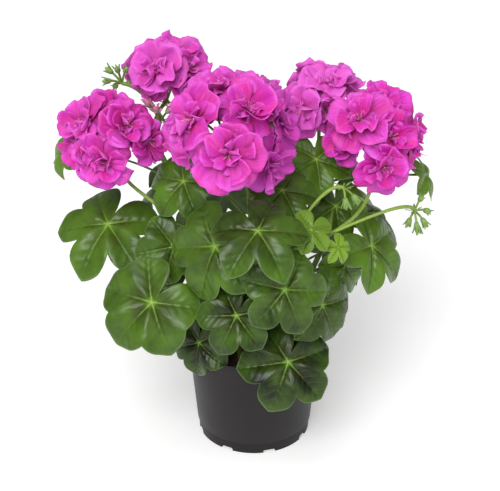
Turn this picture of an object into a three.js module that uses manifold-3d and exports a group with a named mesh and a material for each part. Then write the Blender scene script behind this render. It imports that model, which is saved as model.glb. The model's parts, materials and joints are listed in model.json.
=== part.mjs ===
// Ivy-leaved geranium in its nursery pot, in millimetres, +Z up.
// The origin is the centre of the pot's foot. The front of the plant looks towards -Y, and +X is its right.
// Eight leafy stems stand in holes in the soil. Each is one body with its leaf stalks, blades, flower stalks
// and buds. The double flowers of each head are one body of petals, seated on the green cups of their stalks.
import * as THREE from 'three';
import { mergeVertices } from 'three/addons/utils/BufferGeometryUtils.js';
import Module from 'manifold-3d';

const wasm = await Module();
wasm.setup();

// Driving dimensions of the pot and soil
const POT_RIM_RADIUS = 52.5;
const POT_FOOT_RADIUS = 44.4;
const POT_HEIGHT = 84;
const POT_WALL = 1.2;
const POT_LIP = 0.7;
const POT_LIP_HEIGHT = 8;
const FOOT_STEP_HEIGHT = 10;
const FOOT_STEP = 1.4;
const DRAIN_COUNT = 8;
const DRAIN_WIDTH = 10;
const DRAIN_HEIGHT = 3.6;
const DRAIN_INNER_RADIUS = 37;
const POT_SIDES = 36;
const DRAIN_TURN = 0.35;
const SOIL_HEIGHT = 73;
const SOIL_BUMP = 1.4;
const SEAT_GAP = 0.3;

// Driving dimensions of the plant
const STEM_FOOT_DEPTH = 14;
const STEM_BASE_RADIUS = 3.1;
const STEM_TIP_RADIUS = 1.9;
const LEAF_STALK_RADIUS = 1.25;
const HEAD_STALK_RADIUS = 1.6;
const KNOB_RADIUS = 3;
const FLOWER_STALK_RADIUS = 0.85;
const CUP_RADIUS = 2.2;
const CUP_TO_CENTRE = 6;
const BLADE_THICKNESS = 1;

// Colours of the finishes
const green = { color: 0x4f7a2c, roughness: 0.45, metalness: 0 };
const magenta = { color: 0xdd33bb, roughness: 0.6, metalness: 0 };
const plastic = { color: 0x3b383b, roughness: 0.55, metalness: 0 };
const peat = { color: 0x2a1d14, roughness: 0.95, metalness: 0 };

const radians = THREE.MathUtils.degToRad;
const vector = (x, y, z) => new THREE.Vector3(x, y, z);
const UP = vector(0, 0, 1);

// A steady share from 0 to 1 for two whole numbers, used for the small differences between leaves.
function chance(a, b) {
  const mixed = Math.sin(a * 127.1 + b * 311.7) * 43758.5453;
  return mixed - Math.floor(mixed);
}

// The solid of a closed geometry, with its faces turned outwards.
function solidOf(geometry) {
  const bare = geometry.index ? geometry.toNonIndexed() : geometry.clone();
  bare.deleteAttribute('normal');
  bare.deleteAttribute('uv');
  const merged = mergeVertices(bare, 1e-4);
  const vertProperties = merged.attributes.position.array;
  const triVerts = new Uint32Array(merged.index.array);
  const solid = new wasm.Manifold(new wasm.Mesh({ numProp: 3, vertProperties, triVerts }));
  if (solid.volume() > 0) return solid;
  for (let i = 0; i < triVerts.length; i += 3) {
    [triVerts[i], triVerts[i + 1]] = [triVerts[i + 1], triVerts[i]];
  }
  return new wasm.Manifold(new wasm.Mesh({ numProp: 3, vertProperties, triVerts }));
}

const joined = (solids) => solids.reduce((whole, piece) => whole.add(piece));
const cut = (solid, tools) => tools.reduce((rest, tool) => rest.subtract(tool), solid);

// The largest body of a solid: a union of thin blades can leave a loose scrap.
function mainBody(solid) {
  const bodies = solid.decompose();
  return bodies.reduce((a, b) => (b.volume() > a.volume() ? b : a));
}

function namedMesh(name, solid, finish) {
  const { vertProperties, triVerts } = mainBody(solid).getMesh();
  const geometry = new THREE.BufferGeometry();
  geometry.setAttribute('position', new THREE.BufferAttribute(new Float32Array(vertProperties), 3));
  geometry.setIndex(new THREE.BufferAttribute(new Uint32Array(triVerts), 1));
  geometry.computeVertexNormals();
  const mesh = new THREE.Mesh(geometry, new THREE.MeshStandardMaterial(finish));
  mesh.name = name;
  return mesh;
}

// A geometry from a list of points and a list of triangles.
function geometryOf(points, triangles) {
  const geometry = new THREE.BufferGeometry().setFromPoints(points);
  geometry.setIndex(triangles.flat());
  return geometry;
}

// A solid turned round Z from a profile of [radius, height] points.
function turned(profile, sides) {
  const points = profile.map(([radius, height]) => new THREE.Vector2(radius, height));
  return solidOf(new THREE.LatheGeometry(points, sides).rotateX(Math.PI / 2));
}

// The way that a blade or flower faces. Azimuth 0 faces the front and 90 the right, and elevation 90 is up.
// Its tip points down the slope, and a positive roll turns it to the left as seen from the front.
function facing(azimuth, elevation, roll) {
  const [a, e, r] = [azimuth, elevation, roll].map(radians);
  const normal = vector(Math.sin(a) * Math.cos(e), -Math.cos(a) * Math.cos(e), Math.sin(e));
  const down = vector(Math.sin(a) * Math.sin(e), -Math.cos(a) * Math.sin(e), -Math.cos(e));
  const across = down.clone().cross(normal);
  const tip = down.clone().multiplyScalar(Math.cos(r)).addScaledVector(across, Math.sin(r));
  return { normal, tip, side: tip.clone().cross(normal) };
}

// A closed solid through loops of points, from one end to the other. A loop is a list of { angle, point } in
// order of angle, and all loops start near the same angle. A loop of several points at an end is capped flat.
function skin(loops) {
  const points = loops.flat().map(({ point }) => point);
  const triangles = [];
  let first = 0;
  for (let k = 1; k < loops[0].length - 1; k++) triangles.push([0, k + 1, k]);
  for (let n = 1; n < loops.length; n++) {
    const [low, high] = [loops[n - 1], loops[n]];
    const next = first + low.length;
    const middle = (loop, i) => {
      if (i >= loop.length || loop.length === 1) return Infinity;
      const end = i + 1 < loop.length ? loop[i + 1].angle : loop[0].angle + 360;
      return (loop[i].angle + end) / 2;
    };
    let [i, j] = [0, 0];
    while (middle(low, i) < Infinity || middle(high, j) < Infinity) {
      const a = first + (i % low.length);
      const b = next + (j % high.length);
      if (middle(low, i) < middle(high, j)) {
        i += 1;
        triangles.push([a, first + (i % low.length), b]);
      } else {
        j += 1;
        triangles.push([a, next + (j % high.length), b]);
      }
    }
    first = next;
  }
  for (let k = 1; k < loops.at(-1).length - 1; k++) triangles.push([first, first + k, first + k + 1]);
  return solidOf(geometryOf(points, triangles));
}

// Loops along a curve, at stations of [twentieths of its length, radius]. With a frame, the loops are turned
// so that at the curve's end their angles are those of the frame.
function loopsAlong(curve, stations, sides, frame) {
  const { normals, binormals } = curve.computeFrenetFrames(20, false);
  let turn = 0;
  let sense = 1;
  if (frame) {
    turn = Math.atan2(frame.tip.dot(binormals[20]), frame.tip.dot(normals[20]));
    const quarter = turn + Math.PI / 2;
    const along = Math.cos(quarter) * frame.side.dot(normals[20]);
    const across = Math.sin(quarter) * frame.side.dot(binormals[20]);
    sense = Math.sign(along + across);
  }
  return stations.map(([step, radius]) => Array.from({ length: sides }, (_, k) => {
    const angle = turn + (sense * 2 * Math.PI * k) / sides;
    const point = curve.getPointAt(step / 20)
      .addScaledVector(normals[step], radius * Math.cos(angle))
      .addScaledVector(binormals[step], radius * Math.sin(angle));
    return { angle: (360 * k) / sides, point };
  }));
}

const rod = (curve, stations, sides) => skin(loopsAlong(curve, stations, sides));

// A loop round a joint, at each angle the radius reach(angle) and the rise height(radius, angle).
function loopRound(joint, frame, angles, reach, height) {
  return angles.map((angle) => {
    const radius = reach(angle);
    const point = joint.clone()
      .addScaledVector(frame.tip, radius * Math.cos(radians(angle)))
      .addScaledVector(frame.side, radius * Math.sin(radians(angle)))
      .addScaledVector(frame.normal, height(radius, angle));
    return { angle, point };
  });
}

// Leaf form: five lobes, with a sinus between each two and a deep one where the stalk joins.
const LOBES = [{ at: 0, reach: 1 }, { at: 63, reach: 0.97 }, { at: 128, reach: 0.86 }];
const SINUSES = [{ at: 33, depth: 1 }, { at: 96, depth: 0.9 }, { at: 180, depth: 0 }];
const STALK_SINUS_REACH = 0.2;
const LEAF_ANGLES = [0, 20, 33, 49, 76, 96, 114, 142, 167, 180, 193, 218, 246, 264, 284, 311, 327, 340];
const LEAF_RING = 0.55;
const WIDTH_TO_REACH = 0.56;

// The lobe and sinus next to an angle, and where it lies between the lobe's axis, at 0, and the sinus, at 1.
function lobeAt(angle) {
  const turn = Math.abs(((angle + 180) % 360 + 360) % 360 - 180);
  const i = SINUSES.findIndex((sinus) => turn <= sinus.at);
  const j = turn < LOBES[i].at ? i - 1 : i;
  const span = Math.abs(SINUSES[j].at - LOBES[i].at);
  return { lobe: LOBES[i], sinus: SINUSES[j], share: Math.abs(turn - LOBES[i].at) / span };
}

// The outline's radius as a share of the blade's reach. lobing is the depth of the sinuses.
function leafReach(angle, lobing) {
  const { lobe, sinus, share } = lobeAt(angle);
  if (!sinus.depth) return lobe.reach + (STALK_SINUS_REACH - lobe.reach) * share ** 4;
  const bottom = 0.94 * (1 - lobing * sinus.depth);
  return lobe.reach + (bottom - lobe.reach) * share ** 3;
}

// The blade is sunk at its joint, folded along its veins and turned down at its edge.
function leafHeight(radius, angle, reach, seed) {
  const q = radius / reach;
  const funnel = (0.16 + 0.12 * chance(seed, 2)) * q;
  const droop = (0.28 + 0.16 * chance(seed, 3)) * q * q;
  const pleat = 0.085 * q * Math.cos(Math.PI * lobeAt(angle).share);
  const wave = 0.05 * q ** 3 * Math.sin(radians(3 * angle + 360 * chance(seed, 1)));
  return reach * (funnel - droop - pleat + wave);
}

// Leafy stems: the four control points of each from its foot in the soil.
const FOOT_Z = SOIL_HEIGHT - STEM_FOOT_DEPTH;
const stems = {
  left: [[-20, -6, FOOT_Z], [-24, -8, 105], [-40, -14, 140], [-60, -16, 182]],
  front_left: [[-9, -19, FOOT_Z], [-11, -26, 100], [-22, -36, 135], [-24, -38, 196]],
  front_right: [[11, -20, FOOT_Z], [14, -30, 100], [20, -38, 135], [22, -42, 178]],
  right: [[21, -5, FOOT_Z], [28, -8, 105], [40, -16, 140], [56, -18, 182]],
  middle: [[0, 0, FOOT_Z], [0, -2, 110], [0, -6, 160], [-4, -14, 208]],
  back_right: [[14, 16, FOOT_Z], [24, 20, 105], [42, 26, 150], [48, 28, 205]],
  back_left: [[-15, 15, FOOT_Z], [-24, 18, 105], [-42, 22, 150], [-56, 24, 205]],
  back: [[0, 24, FOOT_Z], [0, 36, 105], [-2, 52, 145], [-4, 54, 200]],
};

// Leaves of each stem: the share along the stem where the stalk leaves, the joint of the blade,
// [azimuth, elevation, roll], width and lobing.
const leaves = {
  left: [
    [0.86, [-110, -8, 184], [-16, 55, 18], 75, 0.34],
    [0.62, [-75, -60, 146], [-12, 36, 38], 72, 0.12],
    [0.72, [-60, -29, 176], [12, 24, 20], 52, 0.2],
    [0.3, [-42, -34, 96], [-32, 20, 0], 48, 0.2],
    [0.5, [-76, -2, 132], [-45, 25, 0], 60, 0.22],
  ],
  front_left: [
    [0.9, [-28, -62, 193], [-30, 26, 12], 72, 0.24],
    [0.55, [-13, -74, 143], [-5, 30, 24], 54, 0.27],
    [0.97, [-52, -14, 222], [-20, 45, 30], 52, 0.2],
  ],
  front_right: [
    [0.96, [2, -78, 213], [5, 60, -26], 66, 0.34],
    [0.76, [21, -86, 171], [14, 24, -18], 60, 0.27],
    [0.5, [8, -44, 122], [-6, 14, 12], 50, 0.2],
    [0.3, [25, -65, 98], [8, 34, 24], 67, 0.24],
    [1, [40, -60, 205], [15, 40, 30], 32, 0.4],
    [0.98, [60, -54, 188], [30, 30, -20], 22, 0.44],
  ],
  right: [
    [0.5, [50, -50, 138], [36, 14, -20], 56, 0.22],
    [0.92, [88, -14, 169], [50, 38, -30], 64, 0.32],
    [0.7, [68, -20, 156], [40, 12, -25], 46, 0.27],
    [0.58, [66, 4, 116], [85, 20, 0], 48, 0.24],
    [1, [62, 9, 191], [15, 34, 0], 50, 0.18],
  ],
  middle: [
    [1, [20, -28, 221], [15, 61, -12], 52, 0.25],
    [0.8, [4, 22, 206], [170, 70, 0], 54, 0.22],
  ],
  back_right: [
    [0.5, [64, 54, 134], [130, 28, -15], 64, 0.2],
    [0.75, [96, 50, 168], [112, 32, 20], 64, 0.24],
    [0.92, [66, 58, 212], [140, 50, 0], 54, 0.2],
    [0.28, [52, 34, 100], [120, 22, 15], 52, 0.22],
    [1, [46, 8, 230], [10, 50, 0], 50, 0.24],
    [0.96, [131, 26, 210], [75, 30, 10], 36, 0.27],
  ],
  back_left: [
    [0.5, [-62, 56, 149], [-155, 28, 15], 66, 0.2],
    [0.72, [-92, 46, 168], [-112, 30, -15], 68, 0.24],
    [0.92, [-56, 66, 204], [-155, 46, 0], 58, 0.22],
    [0.28, [-46, 38, 104], [-152, 22, -10], 54, 0.2],
    [0.97, [-142, 20, 233], [-60, 32, -10], 38, 0.24],
  ],
  back: [
    [0.45, [4, 86, 126], [175, 26, 10], 66, 0.22],
    [0.7, [-24, 90, 166], [195, 30, -20], 66, 0.24],
    [0.88, [22, 94, 184], [165, 36, 25], 62, 0.24],
    [0.25, [10, 66, 94], [170, 24, -10], 52, 0.2],
  ],
};

// Flower heads: the stem that carries each, the share where its stalk leaves, the knob where the flower
// stalks part, and each flower's centre, [azimuth, elevation] and width.
const heads = {
  left: {
    stem: 'left', share: 0.95, knob: [-102, 0, 236],
    flowers: [
      [[-126, -6, 264], [-50, 35], 46],
      [[-111, 12, 268], [-20, 65], 44],
      [[-92, -12, 266], [30, 40], 46],
      [[-109, -28, 242], [-5, 5], 46],
      [[-128, -14, 249], [-60, 4], 44],
      [[-76, -8, 251], [50, 8], 40],
      [[-106, 22, 254], [175, 30], 46],
    ],
  },
  top: {
    stem: 'back_left', share: 1, knob: [-66, 28, 268], bends: [[-74, 22, 222], [-84, 30, 250]],
    flowers: [
      [[-71, 8, 302], [-10, 38], 48],
      [[-49, 21, 298], [48, 30], 48],
      [[-80, 14, 292], [-45, 5], 38],
      [[-62, 38, 305], [180, 75], 50],
      [[-80, 50, 290], [-150, 20], 46],
    ],
  },
  front: {
    stem: 'middle', share: 1, knob: [-18, -36, 258],
    flowers: [
      [[-18, -80, 270], [-3, 8], 56],
      [[-44, -62, 290], [-50, 25], 54],
      [[-4, -62, 298], [20, 42], 52],
      [[-24, -42, 305], [-10, 78], 52],
      [[20, -46, 282], [65, 20], 50],
      [[12, -62, 256], [50, -10], 50],
      [[-50, -50, 267], [-70, -5], 50],
      [[8, -24, 294], [110, 50], 50],
      [[-28, -14, 290], [180, 40], 54],
    ],
  },
  right: {
    stem: 'front_right', share: 1, knob: [88, 6, 230], bends: [[52, -50, 194], [90, -36, 200]],
    flowers: [
      [[76, -10, 270], [-20, 50], 48],
      [[94, 12, 275], [40, 70], 46],
      [[119, 2, 249], [70, 12], 46],
      [[94, -24, 236], [5, -5], 46],
      [[66, -4, 250], [-50, 12], 44],
      [[100, -16, 258], [20, 22], 46],
      [[104, 30, 254], [140, 25], 50],
    ],
  },
  middle: {
    stem: 'back_right', share: 1, knob: [50, 46, 248],
    flowers: [
      [[55, 38, 280], [0, 65], 46],
      [[34, 24, 264], [-35, 15], 46],
      [[70, 48, 276], [80, 45], 44],
      [[54, 28, 260], [15, 5], 44],
      [[48, 66, 270], [175, 25], 50],
    ],
  },
  back: {
    stem: 'back', share: 1, knob: [-6, 80, 222],
    flowers: [
      [[-6, 80, 256], [10, 85], 48],
      [[-30, 90, 244], [-120, 30], 50],
      [[18, 92, 244], [125, 30], 50],
      [[-6, 110, 244], [180, 30], 50],
      [[-4, 106, 222], [178, -10], 48],
    ],
  },
};

// Sprays of unopened buds: the stem that carries each, the share where its stalk leaves, the knob where the
// bud stalks part, and the tip of each bud. A spray with no bends grows from a flower head's own knob.
const BUD_RADIUS = 2.3;
const BUD_TIP_RADIUS = 0.4;
const budSprays = [
  {
    stem: 'back_left', share: 0.97, knob: [-99, 33, 281], bends: [[-56, 26, 250], [-84, 34, 280]],
    tips: [[-113, 26, 285], [-111, 32, 294], [-102, 26, 297], [-94, 30, 295], [-106, 36, 276]],
  },
  {
    stem: 'back_left', share: 0.99, knob: [-70, 16, 257], bends: [[-68, 22, 222], [-76, 16, 240]],
    tips: [[-80, 6, 279], [-72, -2, 276], [-60, 4, 273]],
  },
  {
    stem: 'front_right', share: 1, knob: [119, -14, 198], bends: [[52, -50, 194], [112, -34, 222]],
    tips: [[129, -18, 186], [121, -24, 183], [113, -18, 186], [132, -10, 195], [126, -4, 206]],
  },
  {
    stem: 'front_right', share: 0.95, knob: [64, -34, 226], bends: [[30, -46, 205], [52, -34, 232]],
    tips: [[66, -42, 212], [76, -36, 214]],
  },
];

// Double flower: an outer and an inner layer of petals on a short funnel. Each layer's reach is a share of
// the flower's radius, notch is the outline's share between two petals, rise is its height above the cup, and
// the outline's points lie at the offsets from one petal to the next.
const PETALS = 5;
const FUNNEL_DEPTH = 4;
const FUNNEL_RADIUS = 2.6;
const petalLayers = [
  {
    offsets: [0.26, 0.5, 0.74], turn: 0,
    reach: 1, notch: 0.74, rise: 3, slope: 0.3, droop: 0.34, thickness: 0.9,
  },
  {
    offsets: [0, 0.28, 0.72], turn: 36,
    reach: 0.62, notch: 0.66, rise: 4.2, slope: 0.85, droop: 0.15, thickness: 1.1,
  },
];

function stemCurve(name, drop = 0) {
  return new THREE.CubicBezierCurve3(...stems[name].map(([x, y, z]) => vector(x, y, z - drop)));
}

// A leaf: its stalk leaves the stem outwards and upwards, and widens from below into the blade's underside.
// Both faces of the blade have the same points, with a ring of them part of the way out.
function leaf(curve, seed, [share, place, [azimuth, elevation, roll], width, lobing]) {
  const joint = vector(...place);
  const frame = facing(azimuth, elevation, roll);
  const reach = width * WIDTH_TO_REACH;
  const start = curve.getPoint(share);
  const end = joint.clone().addScaledVector(frame.normal, -BLADE_THICKNESS);
  const length = start.distanceTo(end);
  const leave = start.clone().lerp(joint, 0.3).addScaledVector(UP, 0.12 * length);
  const arrive = end.clone()
    .addScaledVector(frame.normal, -0.28 * length)
    .addScaledVector(frame.tip, -0.1 * length);
  const stalk = new THREE.CubicBezierCurve3(start, leave, arrive, end);
  const edge = (angle) => reach * leafReach(angle, lobing);
  const between = LEAF_ANGLES.filter((_, i) => i % 2 === 0);
  const face = (offset) => {
    const height = (radius, angle) => leafHeight(radius, angle, reach, seed) + offset;
    return [
      loopRound(joint, frame, between, (angle) => LEAF_RING * edge(angle), height),
      loopRound(joint, frame, LEAF_ANGLES, edge, height),
    ];
  };
  const stations = [[0, LEAF_STALK_RADIUS], [10, 0.9 * LEAF_STALK_RADIUS], [20, 0.85 * LEAF_STALK_RADIUS]];
  return skin([
    ...loopsAlong(stalk, stations, 4, frame),
    ...face(-BLADE_THICKNESS / 2),
    ...face(BLADE_THICKNESS / 2).reverse(),
    loopRound(joint, frame, [0], () => 0, () => BLADE_THICKNESS / 2),
  ]);
}

// Where a flower sits: its centre, facing and cup, whose flat top is SEAT_GAP under the flower's hub.
function flowerSeat([place, [azimuth, elevation]], seed) {
  const frame = facing(azimuth, elevation, 360 * chance(seed, 4));
  const centre = vector(...place);
  return { frame, hub: centre.clone().addScaledVector(frame.normal, -CUP_TO_CENTRE) };
}

// A flower's stalk, from the knob to the cup.
function flowerStalk(knob, { frame, hub }, spare) {
  const top = hub.clone().addScaledVector(frame.normal, spare - SEAT_GAP);
  const length = knob.distanceTo(top);
  const leave = knob.clone().lerp(top, 0.35);
  const arrive = top.clone().addScaledVector(frame.normal, -0.4 * length);
  const thin = FLOWER_STALK_RADIUS + spare;
  const curve = new THREE.CubicBezierCurve3(knob, leave, arrive, top);
  return rod(curve, [[0, thin], [15, thin], [20, CUP_RADIUS + spare]], 4);
}

// One flower: from its funnel, which the cup cuts flat, out under the outer petals, back over them, and out
// and back again round the inner ones.
function flower({ frame, hub }, width, seed) {
  const ring = [0, 1, 2, 3, 4].map((i) => (360 / PETALS) * i);
  const loops = [loopRound(hub, frame, [0], () => 0, () => -FUNNEL_DEPTH)];
  petalLayers.forEach((form, index) => {
    const reach = (width / 2) * form.reach;
    const angles = ring.flatMap((start) => form.offsets.map((share) => start + (360 / PETALS) * share));
    const phase = (angle) => Math.cos(radians((angle - form.turn) * PETALS));
    const size = (angle) => {
      const petal = Math.round(((angle - form.turn + 360) / 360) * PETALS) % PETALS;
      return 0.9 + 0.2 * chance(seed * 3 + index, 5 + petal);
    };
    const edge = (angle) => {
      if (phase(angle) < -0.9) return reach * form.notch;
      return reach * size(angle) * (0.9 + 0.1 * phase(angle));
    };
    const rise = (offset) => (radius, angle) => {
      const q = radius / reach;
      const curl = 0.9 * q * (size(angle) - 1) * (phase(angle) + 1);
      return form.rise + offset + reach * (form.slope * q - form.droop * q * q + curl);
    };
    loops.push(
      loopRound(hub, frame, ring, () => FUNNEL_RADIUS, rise(-form.thickness / 2)),
      loopRound(hub, frame, angles, edge, rise(-form.thickness / 2)),
      loopRound(hub, frame, angles, edge, rise(form.thickness / 2)),
    );
  });
  const { rise } = petalLayers.at(-1);
  loops.push(loopRound(hub, frame, [0], () => 0, () => rise + 1));
  return skin(loops);
}

// A spray of buds: each is a thin stalk that swells into a pointed bud.
function budSpray({ stem, share, knob, bends, tips }) {
  const middle = vector(...knob);
  const pieces = tips.map((place) => {
    const tip = vector(...place);
    const bend = middle.clone().lerp(tip, 0.5).addScaledVector(UP, 3);
    const curve = new THREE.QuadraticBezierCurve3(middle, bend, tip);
    const bud = [[12, BUD_RADIUS], [16, 0.8 * BUD_RADIUS], [20, BUD_TIP_RADIUS]];
    return rod(curve, [[0, FLOWER_STALK_RADIUS], [9, FLOWER_STALK_RADIUS], ...bud], 4);
  });
  if (!bends) return pieces;
  const [leave, arrive] = bends.map((point) => vector(...point));
  const curve = new THREE.CubicBezierCurve3(stemCurve(stem).getPoint(share), leave, arrive, middle);
  return [...pieces, rod(curve, [[0, 1.2], [7, 1.1], [14, 1.1], [20, 1.5]], 4)];
}

function head(name) {
  const { stem, share, knob, bends, flowers } = heads[name];
  const middle = vector(...knob);
  const order = Object.keys(heads).indexOf(name) * 10;
  const seats = flowers.map((row, i) => flowerSeat(row, order + i));
  const start = stemCurve(stem).getPoint(share);
  const length = start.distanceTo(middle);
  const rise = vector(0, 0, 0.4 * length);
  const straight = [start.clone().add(rise), middle.clone().sub(rise)];
  const [leave, arrive] = bends ? bends.map((point) => vector(...point)) : straight;
  const stalk = new THREE.CubicBezierCurve3(start, leave, arrive, middle);
  const [thick, thin] = [HEAD_STALK_RADIUS, 0.85 * HEAD_STALK_RADIUS];
  const greens = [
    rod(stalk, [[0, thick], [6, thick], [13, thin], [20, thin]], 5),
    solidOf(new THREE.IcosahedronGeometry(KNOB_RADIUS, 0).translate(...knob)),
    ...seats.map((seat) => flowerStalk(middle, seat, 0)),
  ];
  const clear = seats.map((seat) => flowerStalk(middle, seat, SEAT_GAP));
  const petals = seats.map((seat, i) => flower(seat, flowers[i][2], order + i));
  return { greens, petals: cut(joined(petals), clear) };
}

// Pot: a turned wall and base with a narrower foot, cut by drain openings where the wall meets the base.
function pot() {
  const stepRadius = POT_FOOT_RADIUS + FOOT_STEP;
  const inner = (radius) => radius - POT_WALL;
  const body = turned([
    [0, 0],
    [POT_FOOT_RADIUS, 0],
    [POT_FOOT_RADIUS + 0.3, FOOT_STEP_HEIGHT - 1],
    [stepRadius, FOOT_STEP_HEIGHT],
    [POT_RIM_RADIUS - POT_LIP, POT_HEIGHT - POT_LIP_HEIGHT],
    [POT_RIM_RADIUS, POT_HEIGHT - POT_LIP_HEIGHT + POT_LIP],
    [POT_RIM_RADIUS, POT_HEIGHT],
    [inner(POT_RIM_RADIUS), POT_HEIGHT],
    [inner(POT_RIM_RADIUS - POT_LIP), POT_HEIGHT - POT_LIP_HEIGHT],
    [inner(stepRadius), FOOT_STEP_HEIGHT],
    [inner(POT_FOOT_RADIUS), FOOT_STEP_HEIGHT - 1],
    [inner(POT_FOOT_RADIUS), POT_WALL],
    [0, POT_WALL],
  ], POT_SIDES);
  const arch = new THREE.Shape([
    new THREE.Vector2(-DRAIN_WIDTH / 2, -1),
    new THREE.Vector2(DRAIN_WIDTH / 2, -1),
    new THREE.Vector2(DRAIN_WIDTH / 2, 0.5 * DRAIN_HEIGHT),
    new THREE.Vector2(0.3 * DRAIN_WIDTH, DRAIN_HEIGHT),
    new THREE.Vector2(-0.3 * DRAIN_WIDTH, DRAIN_HEIGHT),
    new THREE.Vector2(-DRAIN_WIDTH / 2, 0.5 * DRAIN_HEIGHT),
  ]);
  const depth = POT_RIM_RADIUS - DRAIN_INNER_RADIUS;
  const drain = (i) => solidOf(new THREE.ExtrudeGeometry(arch, { depth, bevelEnabled: false })
    .rotateX(Math.PI / 2)
    .translate(0, -DRAIN_INNER_RADIUS, 0)
    .rotateZ((2 * Math.PI * (i + DRAIN_TURN)) / DRAIN_COUNT));
  return cut(body, Array.from({ length: DRAIN_COUNT }, (_, i) => drain(i)));
}

// Soil: it fills the pot to below the rim, SEAT_GAP clear of the wall and base, with an uneven top.
function soil() {
  const inset = POT_WALL + SEAT_GAP;
  const wallAt = (height) => {
    const share = (height - FOOT_STEP_HEIGHT) / (POT_HEIGHT - POT_LIP_HEIGHT - FOOT_STEP_HEIGHT);
    return THREE.MathUtils.lerp(POT_FOOT_RADIUS + FOOT_STEP, POT_RIM_RADIUS - POT_LIP, share) - inset;
  };
  const lump = (radius, angle) => {
    const ripple = Math.sin(0.16 * radius + radians(3 * angle));
    return SOIL_BUMP * ripple * Math.cos(radians(5 * angle));
  };
  const axes = { normal: UP, tip: vector(1, 0, 0), side: vector(0, 1, 0) };
  const evenly = (count) => Array.from({ length: count }, (_, i) => (360 / count) * i);
  const loop = (count, radius, height, bumps = 0) => loopRound(vector(0, 0, 0), axes, evenly(count),
    () => radius, (r, angle) => height + bumps * lump(r, angle));
  const foot = POT_FOOT_RADIUS - inset;
  const top = wallAt(SOIL_HEIGHT);
  return skin([
    loop(1, 0, inset),
    loop(POT_SIDES, foot, inset),
    loop(POT_SIDES, foot, FOOT_STEP_HEIGHT - 1),
    loop(POT_SIDES, wallAt(FOOT_STEP_HEIGHT), FOOT_STEP_HEIGHT + SEAT_GAP),
    loop(POT_SIDES, top, SOIL_HEIGHT),
    loop(20, 0.72 * top, SOIL_HEIGHT + 1, 1),
    loop(12, 0.4 * top, SOIL_HEIGHT + 1, 1),
    loop(1, 0, SOIL_HEIGHT + 2),
  ]);
}

// A stem's own rod. A hole for it is the same rod, wider all round and lower by the gap.
function stemRod(name, gap) {
  const taper = (step) => [step, THREE.MathUtils.lerp(STEM_BASE_RADIUS, STEM_TIP_RADIUS, step / 20) + gap];
  return rod(stemCurve(name, gap), [0, 5, 9, 13, 20].map(taper), 5);
}

const plant = new THREE.Group();
const madeHeads = Object.fromEntries(Object.keys(heads).map((name) => [name, head(name)]));
plant.add(namedMesh('pot', pot(), plastic));
plant.add(namedMesh('soil', cut(soil(), Object.keys(stems).map((name) => stemRod(name, SEAT_GAP))), peat));
Object.keys(stems).forEach((name, order) => {
  const pieces = [stemRod(name, 0)];
  leaves[name].forEach((row, i) => pieces.push(leaf(stemCurve(name), 10 * order + i, row)));
  for (const [headName, { stem }] of Object.entries(heads)) {
    if (stem === name) pieces.push(...madeHeads[headName].greens);
  }
  for (const row of budSprays) {
    if (row.stem === name) pieces.push(...budSpray(row));
  }
  plant.add(namedMesh(`leafy_stem_${name}`, joined(pieces), green));
});
for (const [name, { petals }] of Object.entries(madeHeads)) {
  plant.add(namedMesh(`flower_head_${name}`, petals, magenta));
}

export default plant;
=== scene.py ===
# %% [markdown]
# # Ivy-leaved geranium in its nursery pot
#
# The real plant trails from a thin dark pot. Thick, round stems carry waxy leaves with five shallow lobes,
# and long bare stalks hold balls of double magenta flowers above them. The CAD part already has every stem,
# leaf and flower as a closed solid of few faces. This lesson grows the finer plant on the same places: the
# same formulas set each stalk, blade and bloom, so that every piece stays where its solid is.

# %% The frame of the CAD part
import json
import math
from functools import partial

import bpy
import numpy as np
from mathutils import Matrix, Vector

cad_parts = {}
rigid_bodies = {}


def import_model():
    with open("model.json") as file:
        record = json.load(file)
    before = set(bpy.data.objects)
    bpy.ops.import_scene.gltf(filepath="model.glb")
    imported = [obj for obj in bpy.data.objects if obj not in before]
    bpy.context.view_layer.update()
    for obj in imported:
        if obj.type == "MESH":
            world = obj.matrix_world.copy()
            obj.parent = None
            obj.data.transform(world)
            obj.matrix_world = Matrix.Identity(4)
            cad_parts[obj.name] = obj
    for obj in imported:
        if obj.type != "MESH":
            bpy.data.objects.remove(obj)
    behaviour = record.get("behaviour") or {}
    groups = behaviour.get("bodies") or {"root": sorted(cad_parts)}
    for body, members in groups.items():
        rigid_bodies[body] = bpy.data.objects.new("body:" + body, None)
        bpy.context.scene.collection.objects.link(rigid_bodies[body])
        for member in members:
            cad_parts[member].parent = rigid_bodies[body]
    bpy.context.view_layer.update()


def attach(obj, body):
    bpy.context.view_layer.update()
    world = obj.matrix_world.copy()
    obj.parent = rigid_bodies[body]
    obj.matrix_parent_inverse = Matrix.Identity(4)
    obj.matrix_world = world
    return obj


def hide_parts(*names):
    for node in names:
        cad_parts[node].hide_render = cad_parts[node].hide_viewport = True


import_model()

# %% [markdown]
# ## Sizes
#
# Lengths below are in millimetres, as a grower would measure them, and MM turns them to Blender's metres
# where a mesh is made. They are the sizes of the solids, so a leaf that is moved there is moved here too.

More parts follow.
